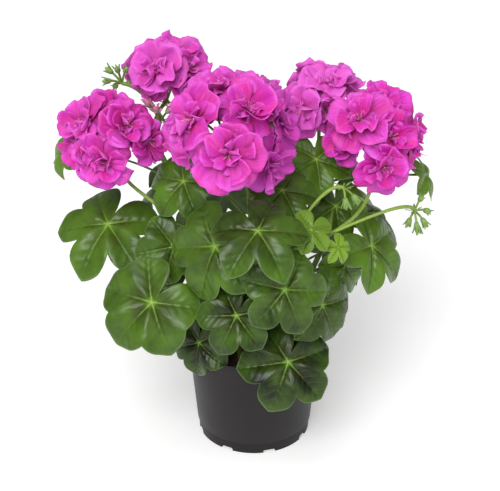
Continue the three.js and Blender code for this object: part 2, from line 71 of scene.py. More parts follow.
# %% Sizes of the pot, the soil and the plant
MM = 0.001
POT_RIM_RADIUS, POT_FOOT_RADIUS, POT_HEIGHT = 52.5, 44.4, 84
POT_WALL, POT_LIP, POT_LIP_HEIGHT = 1.2, 0.7, 8
FOOT_STEP_HEIGHT, FOOT_STEP = 10, 1.4
DRAIN_COUNT, DRAIN_WIDTH, DRAIN_HEIGHT, DRAIN_INNER_RADIUS, DRAIN_TURN = 8, 10, 3.6, 37, 0.35
SOIL_HEIGHT, SOIL_BUMP, SEAT_GAP, STEM_FOOT_DEPTH = 73, 1.4, 0.3, 14
STEM_BASE_RADIUS, STEM_TIP_RADIUS = 3.1, 1.9
LEAF_STALK_RADIUS, HEAD_STALK_RADIUS, FLOWER_STALK_RADIUS = 1.25, 1.6, 0.85
KNOB_RADIUS, CUP_RADIUS, CUP_TO_CENTRE, BUD_RADIUS = 3, 2.2, 6, 2.3
BLADE_THICKNESS, WIDTH_TO_REACH = 1, 0.56
FOOT_Z = SOIL_HEIGHT - STEM_FOOT_DEPTH
print("pot", 2 * POT_RIM_RADIUS, "mm wide and", POT_HEIGHT, "mm high")

# %% [markdown]
# ## The plan of the plant
#
# Where each stem, leaf and flower stands is the plant's character, and no rule gives that: the leaves and
# flowers that the photograph shows were placed one by one, and those at the back in keeping with them. The
# tables are those of the solids. An azimuth of 0 faces the front, and an elevation of 90 faces up.

# %% Stems and leaves
# The four control points of each stem, from its foot in the soil.
STEMS = {
    "left": ((-20, -6, FOOT_Z), (-24, -8, 105), (-40, -14, 140), (-60, -16, 182)),
    "front_left": ((-9, -19, FOOT_Z), (-11, -26, 100), (-22, -36, 135), (-24, -38, 196)),
    "front_right": ((11, -20, FOOT_Z), (14, -30, 100), (20, -38, 135), (22, -42, 178)),
    "right": ((21, -5, FOOT_Z), (28, -8, 105), (40, -16, 140), (56, -18, 182)),
    "middle": ((0, 0, FOOT_Z), (0, -2, 110), (0, -6, 160), (-4, -14, 208)),
    "back_right": ((14, 16, FOOT_Z), (24, 20, 105), (42, 26, 150), (48, 28, 205)),
    "back_left": ((-15, 15, FOOT_Z), (-24, 18, 105), (-42, 22, 150), (-56, 24, 205)),
    "back": ((0, 24, FOOT_Z), (0, 36, 105), (-2, 52, 145), (-4, 54, 200)),
}
# The leaves of each stem: the share along the stem where the stalk leaves it, the joint of the blade,
# (azimuth, elevation, roll), width and depth of lobing.
LEAVES = {
    "left": (
        (0.86, (-110, -8, 184), (-16, 55, 18), 75, 0.34), (0.62, (-75, -60, 146), (-12, 36, 38), 72, 0.12),
        (0.72, (-60, -29, 176), (12, 24, 20), 52, 0.2), (0.3, (-42, -34, 96), (-32, 20, 0), 48, 0.2),
        (0.5, (-76, -2, 132), (-45, 25, 0), 60, 0.22),
    ),
    "front_left": (
        (0.9, (-28, -62, 193), (-30, 26, 12), 72, 0.24), (0.55, (-13, -74, 143), (-5, 30, 24), 54, 0.27),
        (0.97, (-52, -14, 222), (-20, 45, 30), 52, 0.2),
    ),
    "front_right": (
        (0.96, (2, -78, 213), (5, 60, -26), 66, 0.34), (0.76, (21, -86, 171), (14, 24, -18), 60, 0.27),
        (0.5, (8, -44, 122), (-6, 14, 12), 50, 0.2), (0.3, (25, -65, 98), (8, 34, 24), 67, 0.24),
        (1, (40, -60, 205), (15, 40, 30), 32, 0.4), (0.98, (60, -54, 188), (30, 30, -20), 22, 0.44),
    ),
    "right": (
        (0.5, (50, -50, 138), (36, 14, -20), 56, 0.22), (0.92, (88, -14, 169), (50, 38, -30), 64, 0.32),
        (0.7, (68, -20, 156), (40, 12, -25), 46, 0.27), (0.58, (66, 4, 116), (85, 20, 0), 48, 0.24),
        (1, (62, 9, 191), (15, 34, 0), 50, 0.18),
    ),
    "middle": (
        (1, (20, -28, 221), (15, 61, -12), 52, 0.25), (0.8, (4, 22, 206), (170, 70, 0), 54, 0.22),
    ),
    "back_right": (
        (0.5, (64, 54, 134), (130, 28, -15), 64, 0.2), (0.75, (96, 50, 168), (112, 32, 20), 64, 0.24),
        (0.92, (66, 58, 212), (140, 50, 0), 54, 0.2), (0.28, (52, 34, 100), (120, 22, 15), 52, 0.22),
        (1, (46, 8, 230), (10, 50, 0), 50, 0.24), (0.96, (131, 26, 210), (75, 30, 10), 36, 0.27),
    ),
    "back_left": (
        (0.5, (-62, 56, 149), (-155, 28, 15), 66, 0.2), (0.72, (-92, 46, 168), (-112, 30, -15), 68, 0.24),
        (0.92, (-56, 66, 204), (-155, 46, 0), 58, 0.22), (0.28, (-46, 38, 104), (-152, 22, -10), 54, 0.2),
        (0.97, (-142, 20, 233), (-60, 32, -10), 38, 0.24),
    ),
    "back": (
        (0.45, (4, 86, 126), (175, 26, 10), 66, 0.22), (0.7, (-24, 90, 166), (195, 30, -20), 66, 0.24),
        (0.88, (22, 94, 184), (165, 36, 25), 62, 0.24), (0.25, (10, 66, 94), (170, 24, -10), 52, 0.2),
    ),
}
print(len(STEMS), "stems and", sum(map(len, LEAVES.values())), "leaves")

# %% Flower heads and sprays of buds
# Flower heads: the stem, the share where the head's stalk leaves it, the knob where the flower stalks part,
# any bends of the stalk, and for each flower its centre, (azimuth, elevation) and width.
HEADS = {
    "left": ("left", 0.95, (-102, 0, 236), (), (
        ((-126, -6, 264), (-50, 35), 46), ((-111, 12, 268), (-20, 65), 44), ((-92, -12, 266), (30, 40), 46),
        ((-109, -28, 242), (-5, 5), 46), ((-128, -14, 249), (-60, 4), 44), ((-76, -8, 251), (50, 8), 40),
        ((-106, 22, 254), (175, 30), 46))),
    "top": ("back_left", 1, (-66, 28, 268), ((-74, 22, 222), (-84, 30, 250)), (
        ((-71, 8, 302), (-10, 38), 48), ((-49, 21, 298), (48, 30), 48), ((-80, 14, 292), (-45, 5), 38),
        ((-62, 38, 305), (180, 75), 50), ((-80, 50, 290), (-150, 20), 46))),
    "front": ("middle", 1, (-18, -36, 258), (), (
        ((-18, -80, 270), (-3, 8), 56), ((-44, -62, 290), (-50, 25), 54), ((-4, -62, 298), (20, 42), 52),
        ((-24, -42, 305), (-10, 78), 52), ((20, -46, 282), (65, 20), 50), ((12, -62, 256), (50, -10), 50),
        ((-50, -50, 267), (-70, -5), 50), ((8, -24, 294), (110, 50), 50), ((-28, -14, 290), (180, 40), 54))),
    "right": ("front_right", 1, (88, 6, 230), ((52, -50, 194), (90, -36, 200)), (
        ((76, -10, 270), (-20, 50), 48), ((94, 12, 275), (40, 70), 46), ((119, 2, 249), (70, 12), 46),
        ((94, -24, 236), (5, -5), 46), ((66, -4, 250), (-50, 12), 44), ((100, -16, 258), (20, 22), 46),
        ((104, 30, 254), (140, 25), 50))),
    "middle": ("back_right", 1, (50, 46, 248), (), (
        ((55, 38, 280), (0, 65), 46), ((34, 24, 264), (-35, 15), 46), ((70, 48, 276), (80, 45), 44),
        ((54, 28, 260), (15, 5), 44), ((48, 66, 270), (175, 25), 50))),
    "back": ("back", 1, (-6, 80, 222), (), (
        ((-6, 80, 256), (10, 85), 48), ((-30, 90, 244), (-120, 30), 50), ((18, 92, 244), (125, 30), 50),
        ((-6, 110, 244), (180, 30), 50), ((-4, 106, 222), (178, -10), 48))),
}
# Sprays of unopened buds: the stem, the share, the knob, any bends of the stalk, and the tip of each bud.
BUD_SPRAYS = (
    ("back_left", 0.97, (-99, 33, 281), ((-56, 26, 250), (-84, 34, 280)),
     ((-113, 26, 285), (-111, 32, 294), (-102, 26, 297), (-94, 30, 295), (-106, 36, 276))),
    ("back_left", 0.99, (-70, 16, 257), ((-68, 22, 222), (-76, 16, 240)),
     ((-80, 6, 279), (-72, -2, 276), (-60, 4, 273))),
    ("front_right", 1, (119, -14, 198), ((52, -50, 194), (112, -34, 222)),
     ((129, -18, 186), (121, -24, 183), (113, -18, 186), (132, -10, 195), (126, -4, 206))),
    ("front_right", 0.95, (64, -34, 226), ((30, -46, 205), (52, -34, 232)),
     ((66, -42, 212), (76, -36, 214))),
)
flowers, buds = (sum(len(row[4]) for row in rows) for rows in (HEADS.values(), BUD_SPRAYS))
print(flowers, "flowers and", buds, "buds")

# %% [markdown]
# ## Rules that place everything
#
# A plant isn't random: a leaf leaves its stem at a node, bends up to the light and shows its face. The small
# differences come from a steady share of two whole numbers, so the plant grows the same way each time. A
# blade or bloom has a frame of three directions: its side, its tip and its normal.

# %% Placing rules
UP = np.array((0.0, 0.0, 1.0))
HEAD_ORDER = list(HEADS)


def chance(a, b):
    """A steady share from 0 to 1 for two whole numbers."""
    mixed = math.sin(a * 127.1 + b * 311.7) * 43758.5453
    return mixed - math.floor(mixed)


def facing(azimuth, elevation, roll=0):
    """Side, tip and normal of a blade or bloom. A positive roll turns the tip left."""
    a, e, r = (math.radians(angle) for angle in (azimuth, elevation, roll))
    normal = np.array((math.sin(a) * math.cos(e), -math.cos(a) * math.cos(e), math.sin(e)))
    down = np.array((math.sin(a) * math.sin(e), -math.cos(a) * math.sin(e), -math.cos(e)))
    tip = down * math.cos(r) + np.cross(down, normal) * math.sin(r)
    return np.cross(tip, normal), tip, normal


def facing_along(direction):
    """A frame whose normal is the given direction."""
    normal = direction / np.linalg.norm(direction)
    azimuth = math.degrees(math.atan2(normal[0], -normal[1]))
    return facing(azimuth, math.degrees(math.asin(max(-1, min(1, normal[2])))))


def bezier(controls, shares):
    """The points at some shares of a Bezier curve's parameter, for any number of control points."""
    t = np.reshape(shares, (-1, 1))
    p = np.array(controls, float)
    while len(p) > 1:
        p = [a * (1 - t) + b * t for a, b in zip(p[:-1], p[1:])]
    return p[0]


def stem_point(name, share):
    """The place on a stem at one share."""
    return bezier(STEMS[name], share)[0]


print("middle of the left stem, in mm:", stem_point("left", 0.5).round(1))


# %% [markdown]
# ## Helpers for meshes
#
# Most of the plant is thin sheets and round shapes. A loft joins rows of points into a closed skin, and its
# signed volume tells whether it is inside out, which is safer than trusting the order of its rows. A sheet
# gives a grid of points a thickness, so that a petal has two faces and a rim, as the real one has.

# %% Closed shapes from rows of points
RIM_THINNING = 0.4


def loft(rows):
    """The points and outward faces of a closed skin through rings of points. A row of one point is a pole."""
    points, faces, start = np.concatenate(rows), [], 0
    for low, high in zip(map(len, rows), map(len, rows[1:])):
        after, sides = start + low, max(low, high)
        for i in range(sides):
            j = (i + 1) % sides
            corners = (start + i % low, start + j % low, after + j % high, after + i % high)
            faces.append(tuple(dict.fromkeys(corners)))
        start = after
    level = points - points.mean(axis=0)
    volume = sum(np.dot(level[face[0]], np.cross(level[b], level[c]))
                 for face in faces for b, c in zip(face[1:], face[2:]))
    return points, faces if volume > 0 else [face[::-1] for face in faces]


def sheet(grid, thickness):
    """A thin closed sheet from a grid of points (rows, columns, 3), thinner at its rim."""
    rows, columns = grid.shape[:2]
    normal = np.cross(np.gradient(grid, axis=1), np.gradient(grid, axis=0))
    normal /= np.maximum(np.linalg.norm(normal, axis=2, keepdims=True), 1e-9)
    inner = np.ones((rows, columns, 1))
    inner[[0, -1]] = inner[:, [0, -1]] = RIM_THINNING
    lift = normal * inner * thickness / 2
    place, under = np.arange(rows * columns).reshape(rows, columns), rows * columns
    corners = (place[:-1, :-1].flat, place[:-1, 1:].flat, place[1:, 1:].flat, place[1:, :-1].flat)
    faces = []
    for a, b, c, d in zip(*corners):
        faces += [(a, b, c, d), (a + under, d + under, c + under, b + under)]
    rim = [*place[0], *place[1:, -1], *place[-1, -2::-1], *place[-2:0:-1, 0]]
    faces += [(b, a, a + under, b + under) for a, b in zip(rim, rim[1:] + rim[:1])]
    return np.concatenate([grid + lift, grid - lift]).reshape(-1, 3), faces


print("a loft of two triangles has", len(loft([np.eye(3), 2 * np.eye(3)])[1]), "faces")


# %% Objects that carry values at their points
def new_object(name, data):
    """An object of a mesh, light or camera, put in the scene."""
    made = bpy.data.objects.new(name, data)
    bpy.context.scene.collection.objects.link(made)
    return made


def bare_object(name, points, edges=(), faces=(), values=None):
    """An object of points in metres, which may carry one or three values of any name at each point."""
    mesh = bpy.data.meshes.new(name)
    mesh.from_pydata(points.tolist(), edges, faces)
    for key, numbers in (values or {}).items():
        numbers = np.asarray(numbers, float)
        kind, field = ("FLOAT_VECTOR", "vector") if numbers.ndim == 2 else ("FLOAT", "value")
        mesh.attributes.new(key, kind, "POINT").data.foreach_set(field, numbers.ravel())
    return new_object(name, mesh)


def mesh_object(name, shapes, material=None):
    """One smooth object from several shapes, each (points in metres, faces, {name: values at the points})."""
    faces, start = [], 0
    for shape in shapes:
        faces += [tuple(int(i) + start for i in face) for face in shape[1]]
        start += len(shape[0])
    keys = shapes[0][2] if len(shapes[0]) > 2 else ()
    values = {key: np.concatenate([shape[2][key] for shape in shapes]) for key in keys}
    made = bare_object(name, np.concatenate([shape[0] for shape in shapes]), (), faces, values)
    made.data.shade_smooth()
    if material:
        made.data.materials.append(material)
    return made


def plain_mesh(source):
    """The mesh that an object's modifiers leave."""
    return bpy.data.meshes.new_from_object(source.evaluated_get(bpy.context.evaluated_depsgraph_get()))


# %% [markdown]
# ## Helpers for nodes
#
# Materials and Geometry Nodes are both trees of nodes. One function adds a node with its settings and its
# links, which keeps each tree short enough to read. Colours are picked as sRGB hex values, as on a screen,
# and laid one over another like glazes: each has a factor that says where it covers.

# %% Nodes and layers of colour
def fill(node, inputs):
    """Fills or links a node's inputs, given by name or in order. A node stands for its first output."""
    sockets = [s for s in node.inputs if s.enabled]
    for key, value in inputs.items() if isinstance(inputs, dict) else enumerate(inputs):
        socket = sockets[key] if isinstance(key, int) else next(s for s in sockets if s.name == key)
        if isinstance(value, bpy.types.Node):
            value = next(s for s in value.outputs if s.enabled)
        if isinstance(value, bpy.types.NodeSocket):
            node.id_data.links.new(value, socket)
        else:
            socket.default_value = value


def add(tree, kind, inputs=(), operation=None, **settings):
    """Adds a node, which is a shader node unless its kind says more, with its settings and inputs."""
    node = tree.nodes.new(kind if "Node" in kind else f"ShaderNode{kind}")
    if operation:
        node.operation = operation
    for key, value in settings.items():
        setattr(node, key, value)
    fill(node, inputs)
    return node


def linear(hex_colour):
    """An sRGB hex colour as linear red, green and blue, with a full alpha."""
    shares = [int(hex_colour[i:i + 2], 16) / 255 for i in (1, 3, 5)]
    return tuple(s / 12.92 if s <= 0.04045 else ((s + 0.055) / 1.055) ** 2.4 for s in shares) + (1.0,)


def layered(node, base, *layers):
    """A base under layers of (hex colour, factor). More numbers make the factor the start of a Map Range."""
    base = linear(base) if isinstance(base, str) else base
    for hex_colour, factor, *span in layers:
        factor = node("MapRange", (factor, *span)) if span else factor
        base = node("Mix", {"Factor": factor, "A": base, "B": linear(hex_colour)}, data_type="RGBA")
    return base


def carried(node, name):
    """The three values that a piece carries at each of its points."""
    return node("SeparateXYZ", (node("Attribute", attribute_name=name).outputs["Vector"],)).outputs


print("leaf green in linear values:", [round(share, 3) for share in linear("#4f711a")])


# %% Materials, trees and the meshes that they grow
def new_material(name):
    """A material, the function that adds its nodes, and its surface shader."""
    material = bpy.data.materials.new(name)
    material.use_nodes = True
    return material, partial(add, material.node_tree), material.node_tree.nodes["Principled BSDF"]


def new_tree(name, inputs):
    """A Geometry Nodes tree with named inputs, each with its value or its kind, and what adds nodes to it."""
    tree = bpy.data.node_groups.new(name, "GeometryNodeTree")
    for label, value in inputs.items():
        kind = {int: "Int", float: "Float"}.get(type(value), value)
        socket = tree.interface.new_socket(label, in_out="INPUT", socket_type=f"NodeSocket{kind}")
        if kind != value:
            socket.default_value = value
    tree.interface.new_socket("Mesh", in_out="OUTPUT", socket_type="NodeSocketGeometry")
    return tree, partial(add, tree), tree.nodes.new("NodeGroupInput").outputs


def end_tree(node, geometry, material):
    """Ends a tree: its copies are made real and smooth, with one material."""
    real = node("GeometryNodeRealizeInstances", (geometry,))
    smooth = node("GeometryNodeSetShadeSmooth", (real,))
    node("NodeGroupOutput", (node("GeometryNodeSetMaterial", {"Geometry": smooth, "Material": material}),))


def grown(name, source, tree, **values):
    """The plain mesh that a tree makes of a source object, which is then deleted."""
    modifier = source.modifiers.new(tree.name, "NODES")
    modifier.node_group = tree
    sockets = {s.name: s.identifier for s in tree.interface.items_tree if s.in_out == "INPUT"}
    for label, value in values.items():
        modifier[sockets[label]] = value
    made = new_object(name, plain_mesh(source))
    made.data.name = name
    bpy.data.objects.remove(source)
    print(f"{name}: {len(made.data.vertices)} points, {len(made.data.polygons)} faces")
    return made

# %% [markdown]
# ## Finish: the waxy blade of a leaf
#
# Ivy geranium leaves are thick and hairless, with a wax layer that mirrors the sky as a soft grey sheen. Main
# veins run from the joint to each lobe, and side veins fork off them. Pictures of veins would need a texture
# for each leaf. The blades instead carry each point's place along and across its nearest vein, and a few sums
# in the shader draw crisp lines from it.

# %% Leaf material: wax over a fleshy blade gives a soft, broad sheen
# The numbers of a noise are its vector, its waves in a metre and its detail. Those of a Map Range are its
# value, the span that it comes from and the span that it goes to.
leaf_blade, node, surface = new_material("waxy_leaf_blade")
along, across, share = carried(node, "veins")
tone, under, young = carried(node, "leaf")
spot = node("TexCoord").outputs["Object"]

# A main vein narrows from 2% of the leaf's reach at the joint to under 1% at the lobe's end.
width = node("MapRange", (along, 0, 0.9, 0.022, 0.006))
main = node("MapRange", (node("Math", (across, width), "DIVIDE"), 0.3, 1, 1, 0))
# Side veins lean forward, waver every 11 mm (90 waves in a metre), leave a main vein every sixth of the reach
# and fade away from it.
lean = node("Math", (across, -4.8), "MULTIPLY")
lean = node("Math", (node("TexNoise", (spot, 90, 1)), 0.9, lean), "MULTIPLY_ADD")
nearest = node("Math", (node("Math", (along, 6, lean), "MULTIPLY_ADD"), 0.5), "PINGPONG")
fade = node("MapRange", (across, 0, 0.35, 1, 0.15))
side = node("Math", (node("MapRange", (nearest, 0, 0.1, 1, 0)), fade), "MULTIPLY")

# A noise of 50 waves in a metre gives patches of 20 mm. It is added to each leaf's tone, which darkens low
# and inner leaves: partly their age, partly painted shade.
patches = node("Math", (node("TexNoise", (spot, 50, 3)), 1.6, tone), "MULTIPLY_ADD")
main_fade = node("MapRange", (share, 0, 0.45, 0.65, 0.06))
zone = [node("MapRange", (share, 0.12, 0.3)), node("MapRange", (share, 0.3, 0.55, 0.36, 0))]
colour = layered(
    node, "#0c1903",
    ("#4f711a", patches, 0.85, 1.85),  # lighter patches and leaves; the leaf's tone carries painted shade
    ("#3a3617", node("Math", zone, "MULTIPLY")),  # a faint brown zone a third of the way out
    ("#55782c", node("Math", (side, 0.25), "MULTIPLY")),
    ("#77a03c", node("Math", (main, main_fade), "MULTIPLY")),
    ("#8fb04a", share, 0, 0.14, 0.8, 0),  # the joint
    ("#74905a", share, 0.96, 1, 0, 0.4),  # the thin edge, which lets light through
    ("#7a9d2c", node("Math", (young, 0.8), "MULTIPLY")),
    ("#6c8450", node("Math", (under, 0.8), "MULTIPLY")))

# The blade is quilted: it puffs up between side veins, and main veins are pressed in, by about 0.6 mm. Below,
# the veins stand out instead. Buckles of 12 mm (80 waves in a metre) break up the shine of the wax.
puff = node("MapRange", (nearest, 0, 0.5), interpolation_type="SMOOTHSTEP")
puff = node("Math", (puff, fade), "MULTIPLY")
valley = node("MapRange", (across, 0, 0.075), interpolation_type="SMOOTHSTEP")
relief = node("Math", (puff, 0.4, valley), "MULTIPLY_ADD")
relief = node("Math", (relief, node("MapRange", (under, 0, 1, 1, -1))), "MULTIPLY")
relief = node("Math", (node("TexNoise", (spot, 80, 1)), 2.6, relief), "MULTIPLY_ADD")
fill(surface, {
    "Base Color": colour, "Roughness": node("MapRange", (under, 0, 1, 0.34, 0.6)), "IOR": 1.5,
    "Specular IOR Level": 0.31,
    "Normal": node("Bump", {"Strength": 0.8, "Distance": 0.75 * MM, "Height": relief})})
print("leaf material:", len(leaf_blade.node_tree.nodes), "nodes")

# %% [markdown]
# ## Finish: stalks, buds and sepals
#
# Stems are green and a little brown and corky near the soil, while flower stalks are pale and yellow-green.
# Each stalk carries its own tone from old, 0, to fresh, 1, so one material serves them all. Pores of about
# 1 mm break the colour up. Sepals and buds are a softer grey-green with fine hairs, which show as sheen.

# %% Stalk and sepal materials
# A tight skin over juicy flesh gives a stalk a soft shine. Real pores are finer: 700 waves in a metre draw
# them 1.4 mm apart and four times as long, so that they show.
stalk_skin, node, surface = new_material("green_stalk_skin")
tone = node("Attribute", attribute_name="tone").outputs["Fac"]
spot = node("TexCoord").outputs["Object"]
streaks = node("TexNoise", (node("Mapping", {"Vector": spot, "Scale": (1, 1, 0.25)}), 700, 3))
height = node("SeparateXYZ", (spot,)).outputs["Z"]
colour = layered(
    node, "#4c6626",
    ("#8aa63c", tone),
    ("#6d5a34", height, 0.07, 0.125, 0.75, 0),  # corky up to 50 mm above the soil
    ("#3f5720", streaks, 0.35, 0.7, 0.35, 0))
fill(surface, {"Base Color": colour, "Roughness": 0.48,
               "Normal": node("Bump", {"Strength": 0.4, "Distance": 0.15 * MM, "Height": streaks})})

# Fine hairs give sepals and buds a matt, pale rim. Three ridges run along each, and open buds are pink.
hairy_sepal, node, surface = new_material("hairy_green_sepal")
u, v, draw = carried(node, "petal")
pink = node("Attribute", attribute_name="tone").outputs["Fac"]
ridge = node("Math", (u, 0.34), "PINGPONG")
tip = node("Math", (node("MapRange", (v, 0.4, 0.8)), pink), "MULTIPLY")
colour = layered(node, "#5d8034", ("#8fae58", ridge, 0, 0.34, 0.5, 0), ("#e27fb4", tip))
fill(surface, {"Base Color": colour, "Roughness": 0.62, "Sheen Weight": 0.25})
print("stalk and sepal materials made")

# %% [markdown]
# ## Finish: petals
#
# A petal is two skins of clear cells over a pigment layer, so its colour is deep and its gloss is a faint
# velvet. It is palest at the claw, vivid magenta over most of its length and a touch lilac at the rim, with
# fine veins that fan out along it. The shader reads the petal's own across and along values, so the fan
# follows each petal however it bends.

# %% Petal and stamen materials
# Clear, domed cells give petals a deep colour that glows where light comes through, and hardly any gloss.
# Each petal has its own draw below 20, to which its back adds 100.
BACK_DRAW = 100
petal_skin, node, surface = new_material("velvety_magenta_petal")
u, v, draw = carried(node, "petal")
tone = node("Attribute", attribute_name="tone").outputs["Fac"]
ramp = node("ValToRGB", (v,))
stops = ramp.color_ramp.elements
stops[0].color, stops[1].color = linear("#f0c3dd"), linear("#d854c4")
for position, hex_colour in ((0.07, "#dd5fa6"), (0.18, "#ae0d62"), (0.42, "#bb128a"), (0.75, "#c922ae")):
    stops.new(position).color = linear(hex_colour)
# The veins fan out, about 0.6 mm apart at the rim: drawn once across and slowly changing along.
fan = node("CombineXYZ", (node("Math", (u, 7), "MULTIPLY"), v, draw))
veins = node("TexNoise", (fan, 2.2, 3))
blotch = node("TexNoise", (node("CombineXYZ", (u, v, draw)), 0.9, 1))
own = node("TexWhiteNoise", {"W": draw}, noise_dimensions="1D")
colour = layered(
    node, ramp,
    ("#cf2283", blotch, 0.42, 0.6, 0, 0.65),  # parts of each petal are pinker
    ("#9c0f66", veins, 0.5, 0.75, 0, 0.35),  # dark veins, and pale skin between them
    ("#ea7ddc", veins, 0.48, 0.25, 0, 0.3),
    ("#cf6bbb", draw, BACK_DRAW - 1, BACK_DRAW, 0, 0.5),  # the petal's back
    ("#a30c78", own, 0, 0.4, 0.4, 0),  # some petals are deeper, and some more lilac
    ("#e46fdc", own, 0.6, 1, 0, 0.35),
    ("#e773d8", tone, 0, 0.35, 0.5, 0),  # pale, fresh flowers, and painted light that lifts the shade on the middle head
    ("#b347ae", tone, 0.45, 1, 0, 0.55))  # painted shade: a plum tint on flowers that face into the shade
fill(surface, {
    "Base Color": colour, "Roughness": 0.5, "IOR": 1.4, "Specular IOR Level": 0.3, "Sheen Weight": 0.08,
    "Sheen Tint": linear("#ff9bf0"), "Subsurface Weight": 0.3, "Subsurface Radius": (1, 0.2, 0.7),
    "Subsurface Scale": 2 * MM,
    "Normal": node("Bump", {"Strength": 0.35, "Distance": 0.3 * MM, "Height": veins})})

# Pale threads with warmer anthers light up the eye of a flower.
stamen_skin, node, surface = new_material("pale_filament_and_anther")
u, v, draw = carried(node, "petal")
fill(surface, {"Base Color": layered(node, "#f3bfdc", ("#e3a3a8", v, 0.8, 0.86)), "Roughness": 0.5})
print("petal and stamen materials made")

# %% [markdown]
# ## Finish: pot and soil
#
# The pot is thin recycled polypropylene, moulded in a matt tool: a charcoal grey with a dull, broad shine
# and faint rings from the tool. Fresh peat compost is almost black when damp, with lighter bark. Both
# patterns read the object's own coordinates, since neither surface is laid out flat.

# %% Pot and soil materials
# Moulded recycled plastic gives a broad, dull shine. Rings of 2 mm (500 waves in a metre) and a grain of
# 0.7 mm (1500) are coarser than the tool's real marks, so that they show, and the tint changes over 33 mm.
pot_plastic, node, surface = new_material("recycled_polypropylene")
spot = node("TexCoord").outputs["Object"]
flow = node("TexNoise", (spot, 30, 4))
rings = node("TexNoise", (node("Mapping", {"Vector": spot, "Scale": (0.02, 0.02, 1)}), 500, 1))
relief = node("Math", (node("TexNoise", (spot, 1500, 1)), 0.4, rings), "MULTIPLY_ADD")
fill(surface, {
    "Base Color": layered(node, "#120d0f", ("#1b1518", flow)), "Specular IOR Level": 0.3,
    "Roughness": node("MapRange", (flow, 0, 1, 0.38, 0.55)),
    "Normal": node("Bump", {"Strength": 0.25, "Distance": 0.12 * MM, "Height": relief})})

# Damp peat soaks up light, with lumps and bark of 4 mm (260 waves in a metre) and no shine.
peat, node, surface = new_material("damp_peat_compost")
lumps = node("TexNoise", (node("TexCoord").outputs["Object"], 260, 5))
fill(surface, {
    "Base Color": layered(node, "#120c08", ("#4a3423", lumps, 0.35, 0.72)), "Roughness": 0.95,
    "Normal": node("Bump", {"Strength": 0.9, "Distance": 0.8 * MM, "Height": lumps})})
print("pot and soil materials made")

# %% [markdown]
# ## The pot
#
# A nursery pot is one thin shell of revolution: a lip that stiffens the rim, a wall that narrows downwards so
# that pots stack, and a stepped foot with drain openings. A lathe is the natural way, so the profile goes
# round in a loft with 144 sides, which hides every facet. One Boolean with eight arches cuts the openings, as
# the real tool closes off eight corners of the foot.

# %% Pot: a turned shell with drain openings
POT_SIDES, POT_CREASE, ROUND = 144, 32, 0.35
STEP_RADIUS = POT_FOOT_RADIUS + FOOT_STEP
LIP_FOOT = POT_HEIGHT - POT_LIP_HEIGHT


def inner(radius):
    return radius - POT_WALL


def ring(radius, height, sides):
    """A level ring of points round Z. A radius of 0 gives a pole."""
    turn = np.linspace(0, 2 * math.pi, sides, endpoint=False) if radius else np.zeros(1)
    return np.stack([radius * np.cos(turn), radius * np.sin(turn), np.full(len(turn), float(height))], axis=1)


pot_profile = (
    (0, 0), (POT_FOOT_RADIUS - ROUND, 0), (POT_FOOT_RADIUS, ROUND),
    (POT_FOOT_RADIUS + 0.3, FOOT_STEP_HEIGHT - 1), (STEP_RADIUS - 0.2, FOOT_STEP_HEIGHT - 0.1),
    (STEP_RADIUS, FOOT_STEP_HEIGHT + 0.3), (POT_RIM_RADIUS - POT_LIP, LIP_FOOT),
    (POT_RIM_RADIUS - 0.1, LIP_FOOT + POT_LIP), (POT_RIM_RADIUS, LIP_FOOT + POT_LIP + ROUND),
    (POT_RIM_RADIUS, POT_HEIGHT - ROUND), (POT_RIM_RADIUS - ROUND, POT_HEIGHT),
    (inner(POT_RIM_RADIUS) + ROUND, POT_HEIGHT), (inner(POT_RIM_RADIUS), POT_HEIGHT - ROUND),
    (inner(POT_RIM_RADIUS - POT_LIP), LIP_FOOT), (inner(STEP_RADIUS), FOOT_STEP_HEIGHT),
    (inner(POT_FOOT_RADIUS), FOOT_STEP_HEIGHT - 1), (inner(POT_FOOT_RADIUS), POT_WALL), (0, POT_WALL),
)
# An arch's corners: shares of its width, and heights. It starts below the foot and cuts clean through.
arch = ((-0.5, -1), (0.5, -1), (0.5, 0.5 * DRAIN_HEIGHT), (0.42, 0.82 * DRAIN_HEIGHT), (0.3, DRAIN_HEIGHT),
        (-0.3, DRAIN_HEIGHT), (-0.42, 0.82 * DRAIN_HEIGHT), (-0.5, 0.5 * DRAIN_HEIGHT))
cutters = []
for i in range(DRAIN_COUNT):
    near, far = (np.array([(x * DRAIN_WIDTH, -depth, z) for x, z in arch])
                 for depth in (DRAIN_INNER_RADIUS, POT_RIM_RADIUS))
    spin = np.array(Matrix.Rotation(2 * math.pi * (i + DRAIN_TURN) / DRAIN_COUNT, 3, "Z"))
    rows = (near.mean(axis=0)[None], near, far, far.mean(axis=0)[None])
    cutters.append(loft([row @ spin.T * MM for row in rows]))

pot = mesh_object("pot_shell", [loft([ring(r * MM, z * MM, POT_SIDES) for r, z in pot_profile])], pot_plastic)
cutter = mesh_object("drain_arches", cutters)
drains = pot.modifiers.new("drains", "BOOLEAN")
drains.object, drains.operation, drains.solver = cutter, "DIFFERENCE", "EXACT"
cut_pot = plain_mesh(pot)
pot.modifiers.clear()
pot.data = cut_pot
pot.data.set_sharp_from_angle(angle=math.radians(POT_CREASE))
bpy.data.objects.remove(cutter)
print("pot:", len(pot.data.polygons), "faces, height", round(max(v.co.z for v in pot.data.vertices), 4))

# %% [markdown]
# ## The soil
#
# Compost fills the pot to about a finger's width below the rim and isn't level. The body is a loft of rings
# whose top waves gently. Nobody would set a thousand crumbs by hand, so Geometry Nodes scatter a few crumb
# shapes on the top, each turned and sized at random from a fixed seed.

# %% Soil: an uneven body
SOIL_INSET = POT_WALL + SEAT_GAP
SOIL_SIDES, SOIL_CREASE = 96, 50


def wall_at(height):
    """The soil's radius at a height above the foot's step."""
    share = (height - FOOT_STEP_HEIGHT) / (LIP_FOOT - FOOT_STEP_HEIGHT)
    return STEP_RADIUS + (POT_RIM_RADIUS - POT_LIP - STEP_RADIUS) * share - SOIL_INSET


